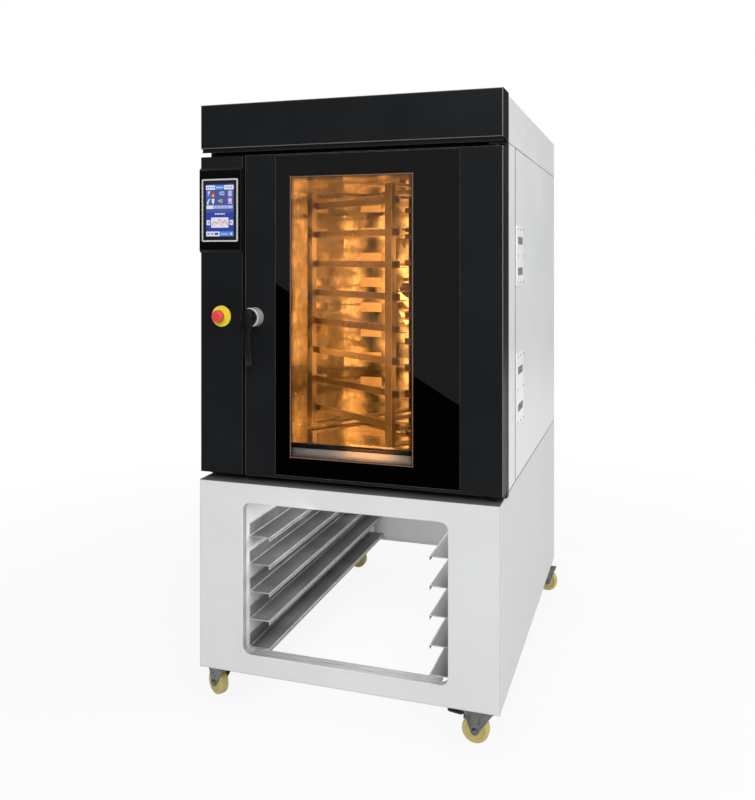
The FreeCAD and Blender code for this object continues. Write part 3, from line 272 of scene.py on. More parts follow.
def noise(spot, scale, detail, weight=0.5):
    """Cloudy noise; detail adds finer clouds, which count by their weight."""
    return place(spot.id_data, "ShaderNodeTexNoise", {
        "Vector": spot, "Scale": scale, "Detail": detail, "Roughness": weight})["Fac"]


def wander(cloud, low, high):
    """Maps a noise's usual range onto low to high."""
    return spread(cloud, low, high, noise_low, noise_high)


def colour_mix(factor, first, second):
    """The first colour where the factor is 0, the second where it is 1."""
    return place(factor.id_data, "ShaderNodeMix", {0: factor, 6: first, 7: second}, data_type="RGBA")[2]


def new_group(name, inputs, outputs):
    """A shader group with number inputs, number outputs and an output for the surface's normal."""
    group = bpy.data.node_groups.new(name, "ShaderNodeTree")
    for title in inputs:
        group.interface.new_socket(title, in_out="INPUT", socket_type="NodeSocketFloat")
    for title in outputs:
        group.interface.new_socket(title, in_out="OUTPUT", socket_type="NodeSocketFloat")
    group.interface.new_socket("Normal", in_out="OUTPUT", socket_type="NodeSocketVector")
    return group, group.nodes.new("NodeGroupInput").outputs, group.nodes.new("NodeGroupOutput")


def make_sheet_effects():
    """Grain, smudges and a noise-broken mask along edges that every coated or rolled sheet shows; the coats
    and rolled sheet paint a highlight there, plating and plastic a paler wear.
    """
    group, given, result = new_group(
        "sheet_effects", ("Edge Radius", "Grain Scale", "Grain Depth", "Smudge Scale"),
        ("Edge", "Grain", "Smudge"))
    spot = object_spot(group)
    rounded = place(group, "ShaderNodeBevel", {"Radius": given["Edge Radius"]}, samples=bevel_samples)[0]
    flat = place(group, "ShaderNodeNewGeometry")["Normal"]
    turned = place(group, "ShaderNodeVectorMath", {0: rounded, 1: flat}, operation="DOT_PRODUCT")
    edge = spread(turned["Value"], 0.0, 1.0, start=0.995, end=0.80)
    kept = spread(noise(spot, edge_break_scale, detail=3.0), 0.55, 1.0, start=0.3, end=0.6)
    grain = noise(spot, given["Grain Scale"], detail=2.0)
    smudge = noise(spot, given["Smudge Scale"], detail=5.0, weight=0.6)
    bump = place(group, "ShaderNodeBump", {"Strength": given["Grain Depth"], "Distance": grain_height,
                                           "Height": grain, "Normal": rounded})
    feed(result, {"Edge": maths("MULTIPLY", edge, kept), "Grain": grain, "Smudge": smudge, "Normal": bump[0]})
    return group


sheet_effects = make_sheet_effects()


def with_effects(tree, radius, scale, depth, smudge):
    return place(tree, "ShaderNodeGroup", {"Edge Radius": radius, "Grain Scale": scale, "Grain Depth": depth,
                                           "Smudge Scale": smudge}, node_tree=sheet_effects)


def finish(build):
    """Turns build(tree, ...), which gives a shader's sockets, into a maker of named materials."""
    def make(name, *values, **options):
        material, tree, shader = new_material(name)
        feed(shader, build(tree, *values, **options))
        return material

    return make


def fillet_highlight_mask(tree):
    """1 along rounded edges, where the surface faces between two main directions; it marks where a highlight
    is painted.
    """
    facing = place(tree, "ShaderNodeTexCoord")["Normal"]
    sizes = place(tree, "ShaderNodeVectorMath", {0: facing}, operation="ABSOLUTE")[0]
    parts = place(tree, "ShaderNodeSeparateXYZ", {0: sizes})
    most = maths("MAXIMUM", maths("MAXIMUM", parts[0], parts[1]), parts[2])
    return spread(most, 1.0, 0.0, start=0.74, end=0.96)


def between(value, low, high):
    """1 where the value lies between two limits, else 0."""
    return maths("MULTIPLY", maths("GREATER_THAN", value, low), maths("LESS_THAN", value, high))


@finish
def coated_sheet(tree, deep, pale, edge, rough, gloss, radius=coat_edge_radius, seam=None):
    """Powder coat that drifts between two tones, with an edge tone painted along edges and fillets as a
    highlight, and two limits of roughness.

    seam is (axis, low, high): between these places the sheet is painted near black, as painted shade in a
    joint's gap.
    """
    effects = with_effects(tree, radius, coat_grain_scale, coat_grain_depth, coat_smudge_scale)
    body = colour_mix(wander(effects["Smudge"], 0.0, 1.0), deep, pale)
    # Painted highlight: the edge tone is laid along sharp edges and rounded fillets.
    body = colour_mix(maths("MAXIMUM", effects["Edge"], fillet_highlight_mask(tree)), body, edge)
    if seam:
        axis, low, high = seam
        along = place(tree, "ShaderNodeSeparateXYZ", {0: object_spot(tree)})[axis]
        body = colour_mix(between(along, low, high), body, seam_shade_tone)
    mottle = maths("MULTIPLY", effects["Grain"], effects["Smudge"])
    return {"Base Color": body, "Roughness": spread(mottle, *rough, start=0.1, end=0.5),
            "Normal": effects["Normal"], "Specular IOR Level": gloss}


def dress(material, *names):
    for name in names:
        for slot in nodes[name].material_slots:
            slot.material = material


panel_tones = ((0.69, 0.695, 0.70), (0.73, 0.735, 0.74))
# The stand sides carry the same coat, painted darker as shade against the light that falls on them, with a
# wider painted edge highlight.
stand_side_shaded_tones = ((0.58, 0.585, 0.59), (0.62, 0.625, 0.63))
panel_edge_highlight = grey(0.98)
panel_rough = (0.36, 0.52)
panel_gloss = 0.35
panel_radius = 0.005
stand_side_radius = 0.008
# The seam bands are painted shade: near black on the hidden strip of the side joint and on the skirt under
# the hood, so the gaps read dark.
side_seam_shade = ("Y", -0.3825, -0.3735)
hood_seam_shade = ("Z", 1.70, 1.7488)
panel_look = (*panel_tones, panel_edge_highlight, panel_rough, panel_gloss, panel_radius)
light_grey_coat = coated_sheet("light_grey_coat", *panel_look)
dress(light_grey_coat, "stand_rear_panel", "stand_inner_walls", "rear_panel")
dress(coated_sheet("stand_side_coat", *stand_side_shaded_tones, panel_edge_highlight, panel_rough, panel_gloss,
                   stand_side_radius), "stand_side_panels")
dress(coated_sheet("side_coat", *panel_look, seam=side_seam_shade), "right_side_panels", "left_side_panels")
dress(coated_sheet("hood_coat", *panel_look, seam=hood_seam_shade), "hood_shell")

# Casters
# Zinc plated top plates and forks, cast amber polyurethane wheels, and a black moulded brake pedal
# on the front right one. The plating has a fine spangle and brownish handling marks.
small_edge_radius = 0.0008
tyre_edge_radius = 0.001
tyre_glow_depths = (0.004, 0.003, 0.001)
tyre_glow_share = 0.35
stain_share = 0.55


def dimmed(tone, share):
    return tuple(share * part for part in tone)


@finish
def plated_steel(tree, dark, bright, rough, spangle, metal=1.0):
    """Plating with a spangle of cells between two tones, and darker handling marks."""
    effects = with_effects(tree, small_edge_radius, scale=1400.0, depth=0.08, smudge=30.0)
    cells = place(tree, "ShaderNodeTexVoronoi", {"Vector": object_spot(tree), "Scale": spangle})
    tone = place(tree, "ShaderNodeSeparateColor", {"Color": cells["Color"]})[0]
    body = colour_mix(spread(tone, 0.2, 0.8), dark, bright)
    marks = spread(effects["Smudge"], 0.0, stain_share, start=0.5, end=0.8)
    stained = colour_mix(marks, body, dimmed(dark, stain_share))
    return {"Base Color": colour_mix(effects["Edge"], stained, bright), "Metallic": metal,
            "Roughness": wander(effects["Smudge"], *rough), "Normal": effects["Normal"]}


@finish
def moulded_plastic(tree, colour, edge, rough, scale=1100.0, depth=0.2, shine=0.5):
    """Moulded plastic with a fine spark texture and rubbed edges."""
    effects = with_effects(tree, small_edge_radius, scale, depth, smudge=18.0)
    tone = colour_mix(spread(effects["Smudge"], 0.0, 0.35, start=0.35, end=0.75), colour, edge)
    return {"Base Color": colour_mix(effects["Edge"], tone, edge),
            "Roughness": wander(effects["Smudge"], *rough), "Normal": effects["Normal"],
            "Specular IOR Level": shine}


@finish
def cast_polyurethane(tree, amber, worn):
    """Translucent cast tyre: amber throughout, dusty and scuffed on its tread."""
    effects = with_effects(tree, tyre_edge_radius, scale=500.0, depth=0.15, smudge=60.0)
    dust = spread(effects["Smudge"], 0.0, 0.6, start=0.45, end=0.75)
    scuff = spread(effects["Smudge"], 0.28, 0.6, start=0.35, end=0.7)
    return {"Base Color": colour_mix(dust, amber, worn), "Roughness": scuff, "Normal": effects["Normal"],
            "Subsurface Weight": tyre_glow_share, "Subsurface Radius": tyre_glow_depths}


corner_names = ("front_left", "front_right", "rear_left", "rear_right")
dress(plated_steel("caster_zinc", grey(0.10), grey(0.25), (0.34, 0.56), spangle=260.0), "caster_plates",
      *["caster_fork_" + corner for corner in corner_names])
black_moulding = moulded_plastic("black_moulding", grey(0.012), (0.035, 0.035, 0.034), (0.38, 0.55))
dress(black_moulding, "brake_pedal")
dress(cast_polyurethane("amber_tyre", (0.56, 0.45, 0.15), (0.50, 0.43, 0.22)),
      *["caster_wheel_" + corner for corner in corner_names])

# Tray stand front and runners
# The front panel is light grey outside; the lip folded in round its opening is bare rolled steel.
# The tray runners are folded from the same mill-finish sheet, with rolling lines along their length and a
# painted highlight along their edges.
line_height = 0.0003
line_edge_radius = 0.001
cloud_scale = 9.0
runner_highlight_width = 0.006
stand_skin = 0.003
stand_edge_radius = 0.006
stand_lines = (6.0, 900.0, 900.0)
runner_lines = (900.0, 4.0, 900.0)
edge_highlight_tone = grey(0.95)
bare_tones = (grey(0.10), grey(0.75))


def make_rolled_lines():
    """Fine parallel lines of rolled or brushed sheet, along the axis with the smallest number."""
    group, given, result = new_group(
        "rolled_lines", ("Along X", "Along Y", "Along Z", "Depth"), ("Line", "Cloud"))
    spot = object_spot(group)
    stretch = place(group, "ShaderNodeCombineXYZ", {0: given["Along X"], 1: given["Along Y"],
                                                    2: given["Along Z"]})
    pulled = place(group, "ShaderNodeVectorMath", {0: spot, 1: stretch[0]}, operation="MULTIPLY")
    line = noise(pulled[0], scale=1.0, detail=4.0, weight=0.7)
    rounded = place(group, "ShaderNodeBevel", {"Radius": line_edge_radius}, samples=bevel_samples)
    bump = place(group, "ShaderNodeBump", {"Strength": given["Depth"], "Distance": line_height,
                                           "Height": line, "Normal": rounded[0]})
    feed(result, {"Line": line, "Cloud": noise(spot, cloud_scale, detail=4.0), "Normal": bump[0]})
    return group


rolled_lines = make_rolled_lines()


def lined(tree, stretch, depth):
    along_x, along_y, along_z = stretch
    return place(tree, "ShaderNodeGroup", {"Along X": along_x, "Along Y": along_y, "Along Z": along_z,
                                           "Depth": depth}, node_tree=rolled_lines)


@finish
def rolled_steel(tree, dark, bright, rough, stretch, depth, metal, edge=0.0):
    """Mill-finish sheet; edge is the width of a painted highlight, a bright line along its folds and cut
    edges.
    """
    lines = lined(tree, stretch, depth)
    tone = maths("ADD", lines["Line"], lines["Cloud"])
    body = colour_mix(spread(tone, 0.0, 1.0, start=0.7, end=1.3), dark, bright)
    if edge:
        effects = with_effects(tree, edge, scale=900.0, depth=0.1, smudge=9.0)
        body = colour_mix(effects["Edge"], body, edge_highlight_tone)
    return {"Base Color": body, "Roughness": wander(lines["Cloud"], *rough), "Normal": lines["Normal"],
            "Metallic": metal}


@finish
def two_sided_panel(tree, back_start):
    """The front panel's paint with a painted highlight along its edges, and bare steel on all that lies
    deeper than back_start.
    """
    effects = with_effects(tree, stand_edge_radius, coat_grain_scale, coat_grain_depth, coat_smudge_scale)
    lines = lined(tree, stand_lines, depth=0.12)
    depth = place(tree, "ShaderNodeSeparateXYZ", {0: object_spot(tree)})["Y"]
    bare = maths("GREATER_THAN", depth, back_start)
    paint = colour_mix(wander(effects["Smudge"], 0.0, 1.0), *panel_tones)
    # Painted highlight: near white along the panel's edges.
    paint_with_highlight = colour_mix(effects["Edge"], paint, panel_edge_highlight)
    streak = spread(lines["Line"], 0.0, 1.0, start=0.35, end=0.65)
    steel = colour_mix(streak, *bare_tones)
    return {"Base Color": colour_mix(bare, paint_with_highlight, steel),
            "Roughness": wander(effects["Smudge"], 0.38, 0.5), "Normal": effects["Normal"],
            "Metallic": spread(bare, 0.0, 0.35), "Specular IOR Level": panel_gloss}


runner_steel = rolled_steel("runner_steel", grey(0.12), grey(0.30), (0.36, 0.55), runner_lines,
                            depth=0.12, metal=0.45, edge=runner_highlight_width)
dress(runner_steel, "tray_runners_left", "tray_runners_right", "caster_rails")
stand_front_low, stand_front_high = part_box("stand_front_panel")
dress(two_sided_panel("stand_front_finish", stand_front_low.y + stand_skin), "stand_front_panel")
# Each lamp inside the stand: name, place, aim, width, height and watts.
stand_lamps = (
    ("stand_fill", (0.0, 0.0, 0.625), (0.0, 0.0, 0.0), 0.5, 1.0, 3.2),
    ("stand_fill_front", (-0.02, -0.57, 0.61), (-0.29, -0.55, 0.30), 0.3, 0.06, 0.8))
for row in stand_lamps:
    soft_box(*row)

# Black coated front
# Fascia, control column, door frame and the frame behind them, in black powder coat.
# The coat is satin, with a faint grain and a thin pale line painted along its edges as a highlight.
black_tones = ((0.0084, 0.0092, 0.0104), (0.0112, 0.0121, 0.0136))
black_rough = (0.34, 0.5)
black_gloss = 0.1
door_edge_radius = 0.0018
# The third colour of each coat is its painted edge highlight, kept nearly black on the column and hinges.
dress(coated_sheet("black_coat", *black_tones, (0.24, 0.243, 0.25), black_rough, black_gloss),
      "front_frame", "hood_fascia", "base_panel")
dress(coated_sheet("door_coat", *black_tones, (0.25, 0.253, 0.26), black_rough, black_gloss,
                   door_edge_radius), "door_frame")
dress(coated_sheet("column_coat", *black_tones, (0.035, 0.036, 0.037), black_rough, black_gloss),
      "control_column", "hinge_brackets")
dress(coated_sheet("stand_top_coat", grey(0.10), grey(0.15), grey(0.3), (0.4, 0.55), gloss=0.3),
      "stand_top_panel")
dress(black_moulding, "cable_gland")
dress(coated_sheet("housing_black", (0.0016, 0.0016, 0.0018), grey(0.003), grey(0.02), (0.16, 0.26),
                   gloss=0.06), "screen_housing")

# Cooking chamber
# Folded stainless walls, floor and ceiling, polished almost to a mirror and slightly wavy from welding.
# Lamps behind the right wall shine through framed glass windows and fill it with amber light; weaker
# lamps stand for the light that the walls throw back. Steel mirrors them, but the lens and glass don't.
ripple_stretch = (1.0, 1.0, 3.0)
ripple_scale = 3.2
ripple_height = 0.02
film_scale = 24.0
film_share = 0.7
level_lines = (3.0, 3.0, 500.0)
upright_lines = (4.0, 4.0, 300.0)
cross_lines = (4.0, 300.0, 300.0)
rack_highlight_width = 0.002


@finish
def polished_steel(tree, tint, rough, wave, line_depth):
    """Mirror-like sheet with a ripple, fine level lines and a thin greasy film."""
    spot = object_spot(tree)
    levelled = place(tree, "ShaderNodeVectorMath", {0: spot, 1: ripple_stretch}, operation="MULTIPLY")
    film = noise(spot, film_scale, detail=5.0)
    lines = lined(tree, level_lines, line_depth)
    hazed = spread(film, 0.0, 1.0, start=0.35, end=0.7)
    ripple = noise(levelled[0], ripple_scale, detail=1.0)
    bump = place(tree, "ShaderNodeBump", {"Strength": wave, "Distance": ripple_height, "Height": ripple,
                                          "Normal": lines["Normal"]})
    return {"Base Color": colour_mix(hazed, tint, dimmed(tint, film_share)),
            "Roughness": wander(film, *rough), "Normal": bump[0], "Metallic": 1.0}


dress(polished_steel("chamber_steel", (0.88, 0.82, 0.71), (0.06, 0.17), wave=0.28, line_depth=0.02),
      "chamber_floor", "chamber_ceiling", "chamber_side_walls", "chamber_baffle", "fan_impeller")
# The rack's folds and cut edges carry a painted highlight.
dress(rolled_steel("rack_steel", (0.22, 0.19, 0.16), (0.34, 0.30, 0.26), (0.26, 0.38), upright_lines,
                   depth=0.03, metal=1.0, edge=rack_highlight_width),
      "rack_posts", "rack_frames", "rack_runners_near", "rack_runners_far", "temperature_probe")
dress(rolled_steel("dull_steel", (0.50, 0.42, 0.30), (0.74, 0.64, 0.48), (0.35, 0.5), upright_lines,
                   depth=0.05, metal=0.35), "chamber_rear_wall")
dress(rolled_steel("inner_frame_steel", (0.72, 0.69, 0.65), (0.82, 0.79, 0.75), (0.3, 0.45), cross_lines,
                   depth=0.05, metal=0.35), "door_inner_frame")
dress(runner_steel, "chamber_supports")
zinc_plate = plated_steel("zinc_plate", (0.34, 0.34, 0.33), (0.58, 0.58, 0.57), (0.30, 0.52), spangle=260.0)
dress(zinc_plate, "latch_tongue", "latch_keeper", "chamber_lamps")
dress(moulded_plastic("motor_paint", (0.09, 0.10, 0.115), (0.2, 0.21, 0.22), (0.35, 0.5), scale=600.0,
                      depth=0.3), "fan_motor", "rack_gearmotor")
dress(plated_steel("heater_sheath", (0.12, 0.10, 0.085), (0.24, 0.21, 0.18), (0.4, 0.6), spangle=400.0),
      "heating_element")

glow_colour = (1.0, 0.44, 0.115)
glow_wall = 0.42
glow_depth = -0.295
fill_depth = -0.535
fill_height = 0.80
fill_aim = 0.2
chamber_middle = 1.23
plenum_depth = 0.285
plenum_wall = 0.47
sill_glow_x = 0.06
# Each chamber lamp: name, place, aim, width, height and brightness.
glow_lamps = [
    ("chamber_glow_upper", (glow_wall, glow_depth, 1.41), (-0.30, -0.10, 1.30), 0.24, 0.16, 13.0),
    ("chamber_glow_lower", (glow_wall, glow_depth, 0.99), (-0.30, -0.10, 1.10), 0.24, 0.12, 11.0),
    ("chamber_fill_wall", (0.418, -0.10, chamber_middle), (0.0, -0.10, chamber_middle), 0.6, 0.78, 0.9)]
for part, x, width, level in (
        ("left", -0.285, 0.08, 3.0), ("middle", -0.08, 0.12, 2.4), ("right", 0.20, 0.30, 1.0)):
    glow_lamps.append(("chamber_fill_" + part, (x, fill_depth, chamber_middle), (x, fill_aim, chamber_middle),
                       width, fill_height, level))
glow_lamps.append(("chamber_fill_top", (0.05, -0.15, 1.655), (0.05, -0.15, 1.0), 0.6, 0.6, 0.55))
for side, x in (("left", -0.217), ("right", 0.307)):
    glow_lamps.append(("plenum_glow_" + side, (x, plenum_depth, chamber_middle),
                       (x, plenum_wall, chamber_middle), 0.14, 0.84, 4.2))
glow_lamps.append(("door_sill_glow", (sill_glow_x, -0.627, 0.822), (sill_glow_x, -0.580, 0.803),
                   0.14, 0.008, 24.0))
for name, spot, aim, width, height, level in glow_lamps:
    holder = soft_box(name, spot, aim, width, height, level * math.pi * width * height)
    holder.data.color = glow_colour
    holder.visible_camera = False
    holder.visible_transmission = False

# Door glass
# Two toughened panes: the outer one is black with a clear window, and has a fired print just inside its
# back. The print fades out in rows of dots round the window; the inner pane is clear. A silicone gasket
# runs round the door's back.
glass_bend = 1.45
glass_film_scale = 11.0
window_left = -0.170
window_right = 0.212
window_bottom = 0.797
window_top = 1.649
window_box = (window_left, window_bottom, window_right, window_top)
clear_margin = 0.006
print_tone = grey(0.0006)
print_thickness = 0.0004
print_cover = 0.0002
glass_low, glass_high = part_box("door_outer_glass")
glass_box = (glass_low.x, glass_low.z, glass_high.x, glass_high.z)
print_back = glass_high.y - print_cover
print_front = print_back - print_thickness


def drawn_in(box, inset):
    """A box (left, low, right, high) made smaller all round, or larger by a negative inset."""
    left, low, right, high = box
    return left + inset, low + inset, right - inset, high - inset


@finish
def clear_glass(tree, tint, opening=None):
    """Glass with a thin film; with an opening (left, low, right, high), black and opaque outside it."""
    spot = object_spot(tree)
    film = noise(spot, glass_film_scale, detail=6.0)
    look = {"Base Color": tint, "Transmission Weight": 1.0, "IOR": glass_bend,
            "Roughness": spread(film, 0.0, 0.02, start=0.45, end=0.8)}
    if opening:
        left, low, right, high = opening
        parts = place(tree, "ShaderNodeSeparateXYZ", {0: spot})
        clear = maths("MULTIPLY", between(parts["X"], left, right), between(parts["Z"], low, high))
        look.update({"Base Color": colour_mix(clear, print_tone, tint), "Transmission Weight": clear})
    return look


def close_between(bm, first, second):
    """Faces between two rings of points, all the way round."""
    return [bm.faces.new((first[index - 1], first[index], second[index], second[index - 1]))
            for index in range(len(first))]


def glass_print(bm):
    """A thin sheet over the whole pane with the window left open."""
    rings = {}
    for depth in (print_front, print_back):
        for edge, box in (("outer", glass_box), ("inner", window_box)):
            rings[edge, depth] = [bm.verts.new((x, depth, z)) for x, z in rectangle(*box)]
    for depth in (print_front, print_back):
        close_between(bm, rings["outer", depth], rings["inner", depth])
    for edge in ("outer", "inner"):
        close_between(bm, rings[edge, print_front], rings[edge, print_back])


def add_piece(name, builder, materials, body):
    """A dressed piece that builder(bm) fills, on one body of the frame."""
    piece = new_object(name, mesh_from(name, builder))
    for material in materials:
        piece.data.materials.append(material)
    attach(piece, body)


dress(clear_glass("door_glass", white), "door_inner_glass")
dress(clear_glass("printed_glass", white, drawn_in(window_box, -clear_margin)), "door_outer_glass")
fired_print = moulded_plastic("fired_print", print_tone, grey(0.0012), (0.3, 0.45), shine=0.0)
add_piece("door_glass_print", glass_print, [fired_print], "door")
dress(moulded_plastic("seal_silicone", (0.05, 0.045, 0.04), (0.10, 0.09, 0.08), (0.5, 0.7)), "door_gasket")

# Handle
# A chromed rose on the stile and a black moulded lever that hangs from it.
# The chrome is bright and slightly hazed; the lever is satin.
chrome = plated_steel("chrome", (0.80, 0.80, 0.82), (0.92, 0.92, 0.94), (0.05, 0.14), spangle=120.0,
                      metal=0.5)
dress(chrome, "handle_rose")
dress(moulded_plastic("lever_moulding", grey(0.006), grey(0.016), (0.26, 0.4), shine=0.22), "handle_lever")

# Screen and emergency stop
# A touch display in a thin silver trim on the raised housing, and below it a red stop button
# on a yellow plate, all set in the control column.
trim_lines = (500.0, 500.0, 20.0)
dress(rolled_steel("silver_trim", (0.70, 0.70, 0.71), (0.84, 0.84, 0.85), (0.22, 0.34), trim_lines,
                   depth=0.05, metal=0.35), "screen_bezel")
dress(moulded_plastic("display_black", (0.006, 0.006, 0.007), grey(0.012), (0.08, 0.14), scale=400.0,
                      depth=0.0), "display_glass")
dress(moulded_plastic("signal_yellow", (0.86, 0.72, 0.03), (0.92, 0.80, 0.10), (0.3, 0.42)), "stop_plate")
dress(moulded_plastic("signal_red", (0.76, 0.06, 0.05), (0.88, 0.18, 0.15), (0.25, 0.38)),
      "stop_head", "stop_plunger")

# Lamp covers
# Two pressed plates over the lamp wiring on the right side, paler than the panel, each with two
# windows of dark woven mesh and cross-head screws along its edges.
# The cover coat's third colour is a painted highlight along its edges.
dress(coated_sheet("cover_white", (0.80, 0.805, 0.81), (0.84, 0.845, 0.85), grey(0.95), (0.36, 0.5),
                   panel_gloss), "lamp_covers")
wire_grey = plated_steel("wire_grey", grey(0.30), grey(0.50), (0.35, 0.55), spangle=500.0, metal=0.5)
mesh_back = moulded_plastic("mesh_back", (0.08, 0.08, 0.082), (0.12, 0.12, 0.122), (0.5, 0.7))

head_segments = 14
head_rings = 8
head_flat_share = 0.5
recess_length_share = 1.15
recess_width_share = 0.24
recess_depth_share = 0.5
recess_lift_share = 0.52
wire_sides = 6
weave_share = 0.8


def point_tree(name, build, lengths, counts=()):
    """A geometry tree that puts what build(tree, given) makes on every point, with a facing and a finish."""
    tree = bpy.data.node_groups.new(name, "GeometryNodeTree")
    kinds = [("Geometry", "Geometry"), ("Facing", "Rotation"), ("Finish", "Material")]
    kinds += [(title, "Float") for title in lengths] + [(title, "Int") for title in counts]
    for title, kind in kinds:
        tree.interface.new_socket(title, in_out="INPUT", socket_type="NodeSocket" + kind)
    tree.interface.new_socket("Geometry", in_out="OUTPUT", socket_type="NodeSocketGeometry")
    given = tree.nodes.new("NodeGroupInput").outputs
    spots = place(tree, "GeometryNodeInstanceOnPoints", {
        "Points": given["Geometry"], "Instance": build(tree, given), "Rotation": given["Facing"]})
    real = place(tree, "GeometryNodeRealizeInstances", {"Geometry": spots[0]})
    done = place(tree, "GeometryNodeSetMaterial", {"Geometry": real[0], "Material": given["Finish"]})
    feed(tree.nodes.new("NodeGroupOutput"), {"Geometry": done[0]})
    return tree


def vector(tree, parts):
    """A vector from its parts, which are keyed 0 to 2."""
    return place(tree, "ShaderNodeCombineXYZ", parts)[0]


def moved(tree, item, **change):
    """The item scaled, turned or shifted."""
    return place(tree, "GeometryNodeTransform", {"Geometry": item[0], **change})[0]


def screw_head(tree, given):
    """A domed head with a cross recess."""
    radius = given["Radius"]
    dome = place(tree, "GeometryNodeMeshUVSphere", {
        "Segments": head_segments, "Rings": head_rings, "Radius": radius})
    flat = moved(tree, dome, Scale=(1.0, 1.0, head_flat_share))
    length, width, depth, lift = [maths("MULTIPLY", radius, share) for share in (
        recess_length_share, recess_width_share, recess_depth_share, recess_lift_share)]
    bars = []
    for across, along in ((length, width), (width, length)):
        bar = place(tree, "GeometryNodeMeshCube", {"Size": vector(tree, {0: across, 1: along, 2: depth})})
        bars.append(moved(tree, bar, Translation=vector(tree, {2: lift})))
    return place(tree, "GeometryNodeMeshBoolean", {"Mesh 1": flat, "Mesh 2": bars},
                 operation="DIFFERENCE")["Mesh"]


def wire_weave(tree, given):
    """Woven wire, drawn in the plane of X and Y: upright wires on one level, cross wires on the next."""
    radius = given["Radius"]
    layers = []
    for axis, across, along, turn, level_share in (
            (0, given["Width"], given["Height"], (quarter_turn, 0.0, 0.0), -weave_share),
            (1, given["Height"], given["Width"], (0.0, quarter_turn, 0.0), weave_share)):
        wire = place(tree, "GeometryNodeMeshCylinder", {
            "Vertices": wire_sides, "Radius": radius, "Depth": along})
        start = vector(tree, {axis: maths("DIVIDE", across, -2.0), 2: maths("MULTIPLY", radius, level_share)})
        row = place(tree, "GeometryNodeMeshLine", {
            "Count": maths("DIVIDE", across, given["Pitch"]), "Start Location": start,
            "Offset": vector(tree, {axis: given["Pitch"]})})
        wires = place(tree, "GeometryNodeInstanceOnPoints", {
            "Points": row[0], "Instance": moved(tree, wire, Rotation=turn)})
        layers.append(wires[0])
    return place(tree, "GeometryNodeJoinGeometry", {0: layers})[0]


def grow(name, spots, tree, body, slot, **values):
    """Runs a geometry tree on loose points and keeps the result as a plain mesh on one body."""
    mesh = bpy.data.meshes.new(name)
    mesh.from_pydata([tuple(spot) for spot in spots], [], [])
    item = new_object(name, mesh)
    maker = item.modifiers.new(name, "NODES")
    maker.node_group = tree
    for socket in tree.interface.items_tree:
        if socket.in_out == "INPUT" and socket.name in values:
            maker[socket.identifier] = values[socket.name]
    ready = item.evaluated_get(bpy.context.evaluated_depsgraph_get())
    made = bpy.data.meshes.new_from_object(ready)
    item.modifiers.remove(maker)
    item.data = made
    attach(item, body)


screw_heads = point_tree("screw_heads", screw_head, ("Radius",))
woven_wire = point_tree("woven_wire", wire_weave, ("Width", "Height", "Pitch", "Radius"))
facing_right = (0.0, quarter_turn, 0.0)
facing_back = (-quarter_turn, 0.0, 0.0)
mesh_facing = (quarter_turn, 0.0, quarter_turn)
# Each cover: its name, its foot and its top.
cover_levels = (("lower", 0.875, 1.101), ("upper", 1.316, 1.504))
cover_screw_inset = 0.009
cover_screw_radius = 0.0038
cover_window_share = 0.24
cover_window_width = 0.104
cover_window_height = 0.024
mesh_pitch = 0.0032
wire_radius = 0.0006
mesh_offset = 0.0024
backing_gap = 0.0002
backing_sheet = 0.0008
backing_corner = 0.003
cover_low, cover_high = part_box("lamp_covers")
cover_middle = (cover_low.y + cover_high.y) / 2
panel_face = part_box("right_side_panels")[1].x

cover_spots = []
window_spots = []
for cover, low, high in cover_levels:
    foot = low + cover_screw_inset
    top = high - cover_screw_inset
    for z in (foot, (low + high) / 2, top):
        for y in (cover_low.y + cover_screw_inset, cover_high.y - cover_screw_inset):
            cover_spots.append((cover_high.x, y, z))
    cover_spots += [(cover_high.x, cover_middle, z) for z in (foot, top)]
    for row, share in (("low", cover_window_share), ("high", 1 - cover_window_share)):
        window_spots.append((cover + "_" + row, low + (high - low) * share))
grow("cover_screws", cover_spots, screw_heads, "cabinet", "zinc_steel", Facing=facing_right,
     Finish=zinc_plate, Radius=cover_screw_radius)
for window, z in window_spots:
    grow("cover_mesh_" + window, [(panel_face + mesh_offset, cover_middle, z)], woven_wire, "cabinet",
         "zinc_steel", Facing=mesh_facing, Finish=wire_grey, Width=cover_window_width,
         Height=cover_window_height, Pitch=mesh_pitch, Radius=wire_radius)


def rounded_outline(left, low, right, high, radius, steps=4):
    """The outline of a rectangle with rounded corners, in the order of its corners."""
    points = []
    centres = ((right - radius, high - radius), (left + radius, high - radius),
               (left + radius, low + radius), (right - radius, low + radius))
    for corner, (x, y) in enumerate(centres):
        for step in range(steps + 1):
            angle = quarter_turn * (corner + step / steps)
            points.append((x + radius * math.cos(angle), y + radius * math.sin(angle)))
    return points


def prism(bm, outline, shift, paint=0):
    """A closed prism: the outline, given as points in space, drawn along a shift."""
    near = [bm.verts.new(point) for point in outline]
    far = [bm.verts.new(Vector(point) + Vector(shift)) for point in outline]
    for face in [bm.faces.new(near), bm.faces.new(far), *close_between(bm, near, far)]:
        face.material_index = paint


def mesh_backings(bm):
    half_width = cover_window_width / 2
    half_height = cover_window_height / 2
    for window, level in window_spots:
        outline = rounded_outline(cover_middle - half_width, level - half_height, cover_middle + half_width,
                                  level + half_height, backing_corner)
        prism(bm, [(panel_face + backing_gap, y, z) for y, z in outline], (backing_sheet, 0, 0))


add_piece("cover_mesh_backs", mesh_backings, [mesh_back], "cabinet")

# Display picture
# The lit picture behind the touch glass: bars, keys, plain digits and a chart on a blue ground.
# Thin prisms in layers on the pane; each colour glows through a fine grid of pixels.
pixel_rate = 420.0
pixel_dim_share = 0.8
pixel_base = (0.004, 0.004, 0.005)
display_level = 0.95
layer_height = 0.00012
picture_width = 0.097
picture_height = 0.165
millimetre = 0.001
display_low, display_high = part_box("display_glass")
picture_left = (display_low.x + display_high.x - picture_width) / 2
picture_top = (display_low.z + display_high.z + picture_height) / 2


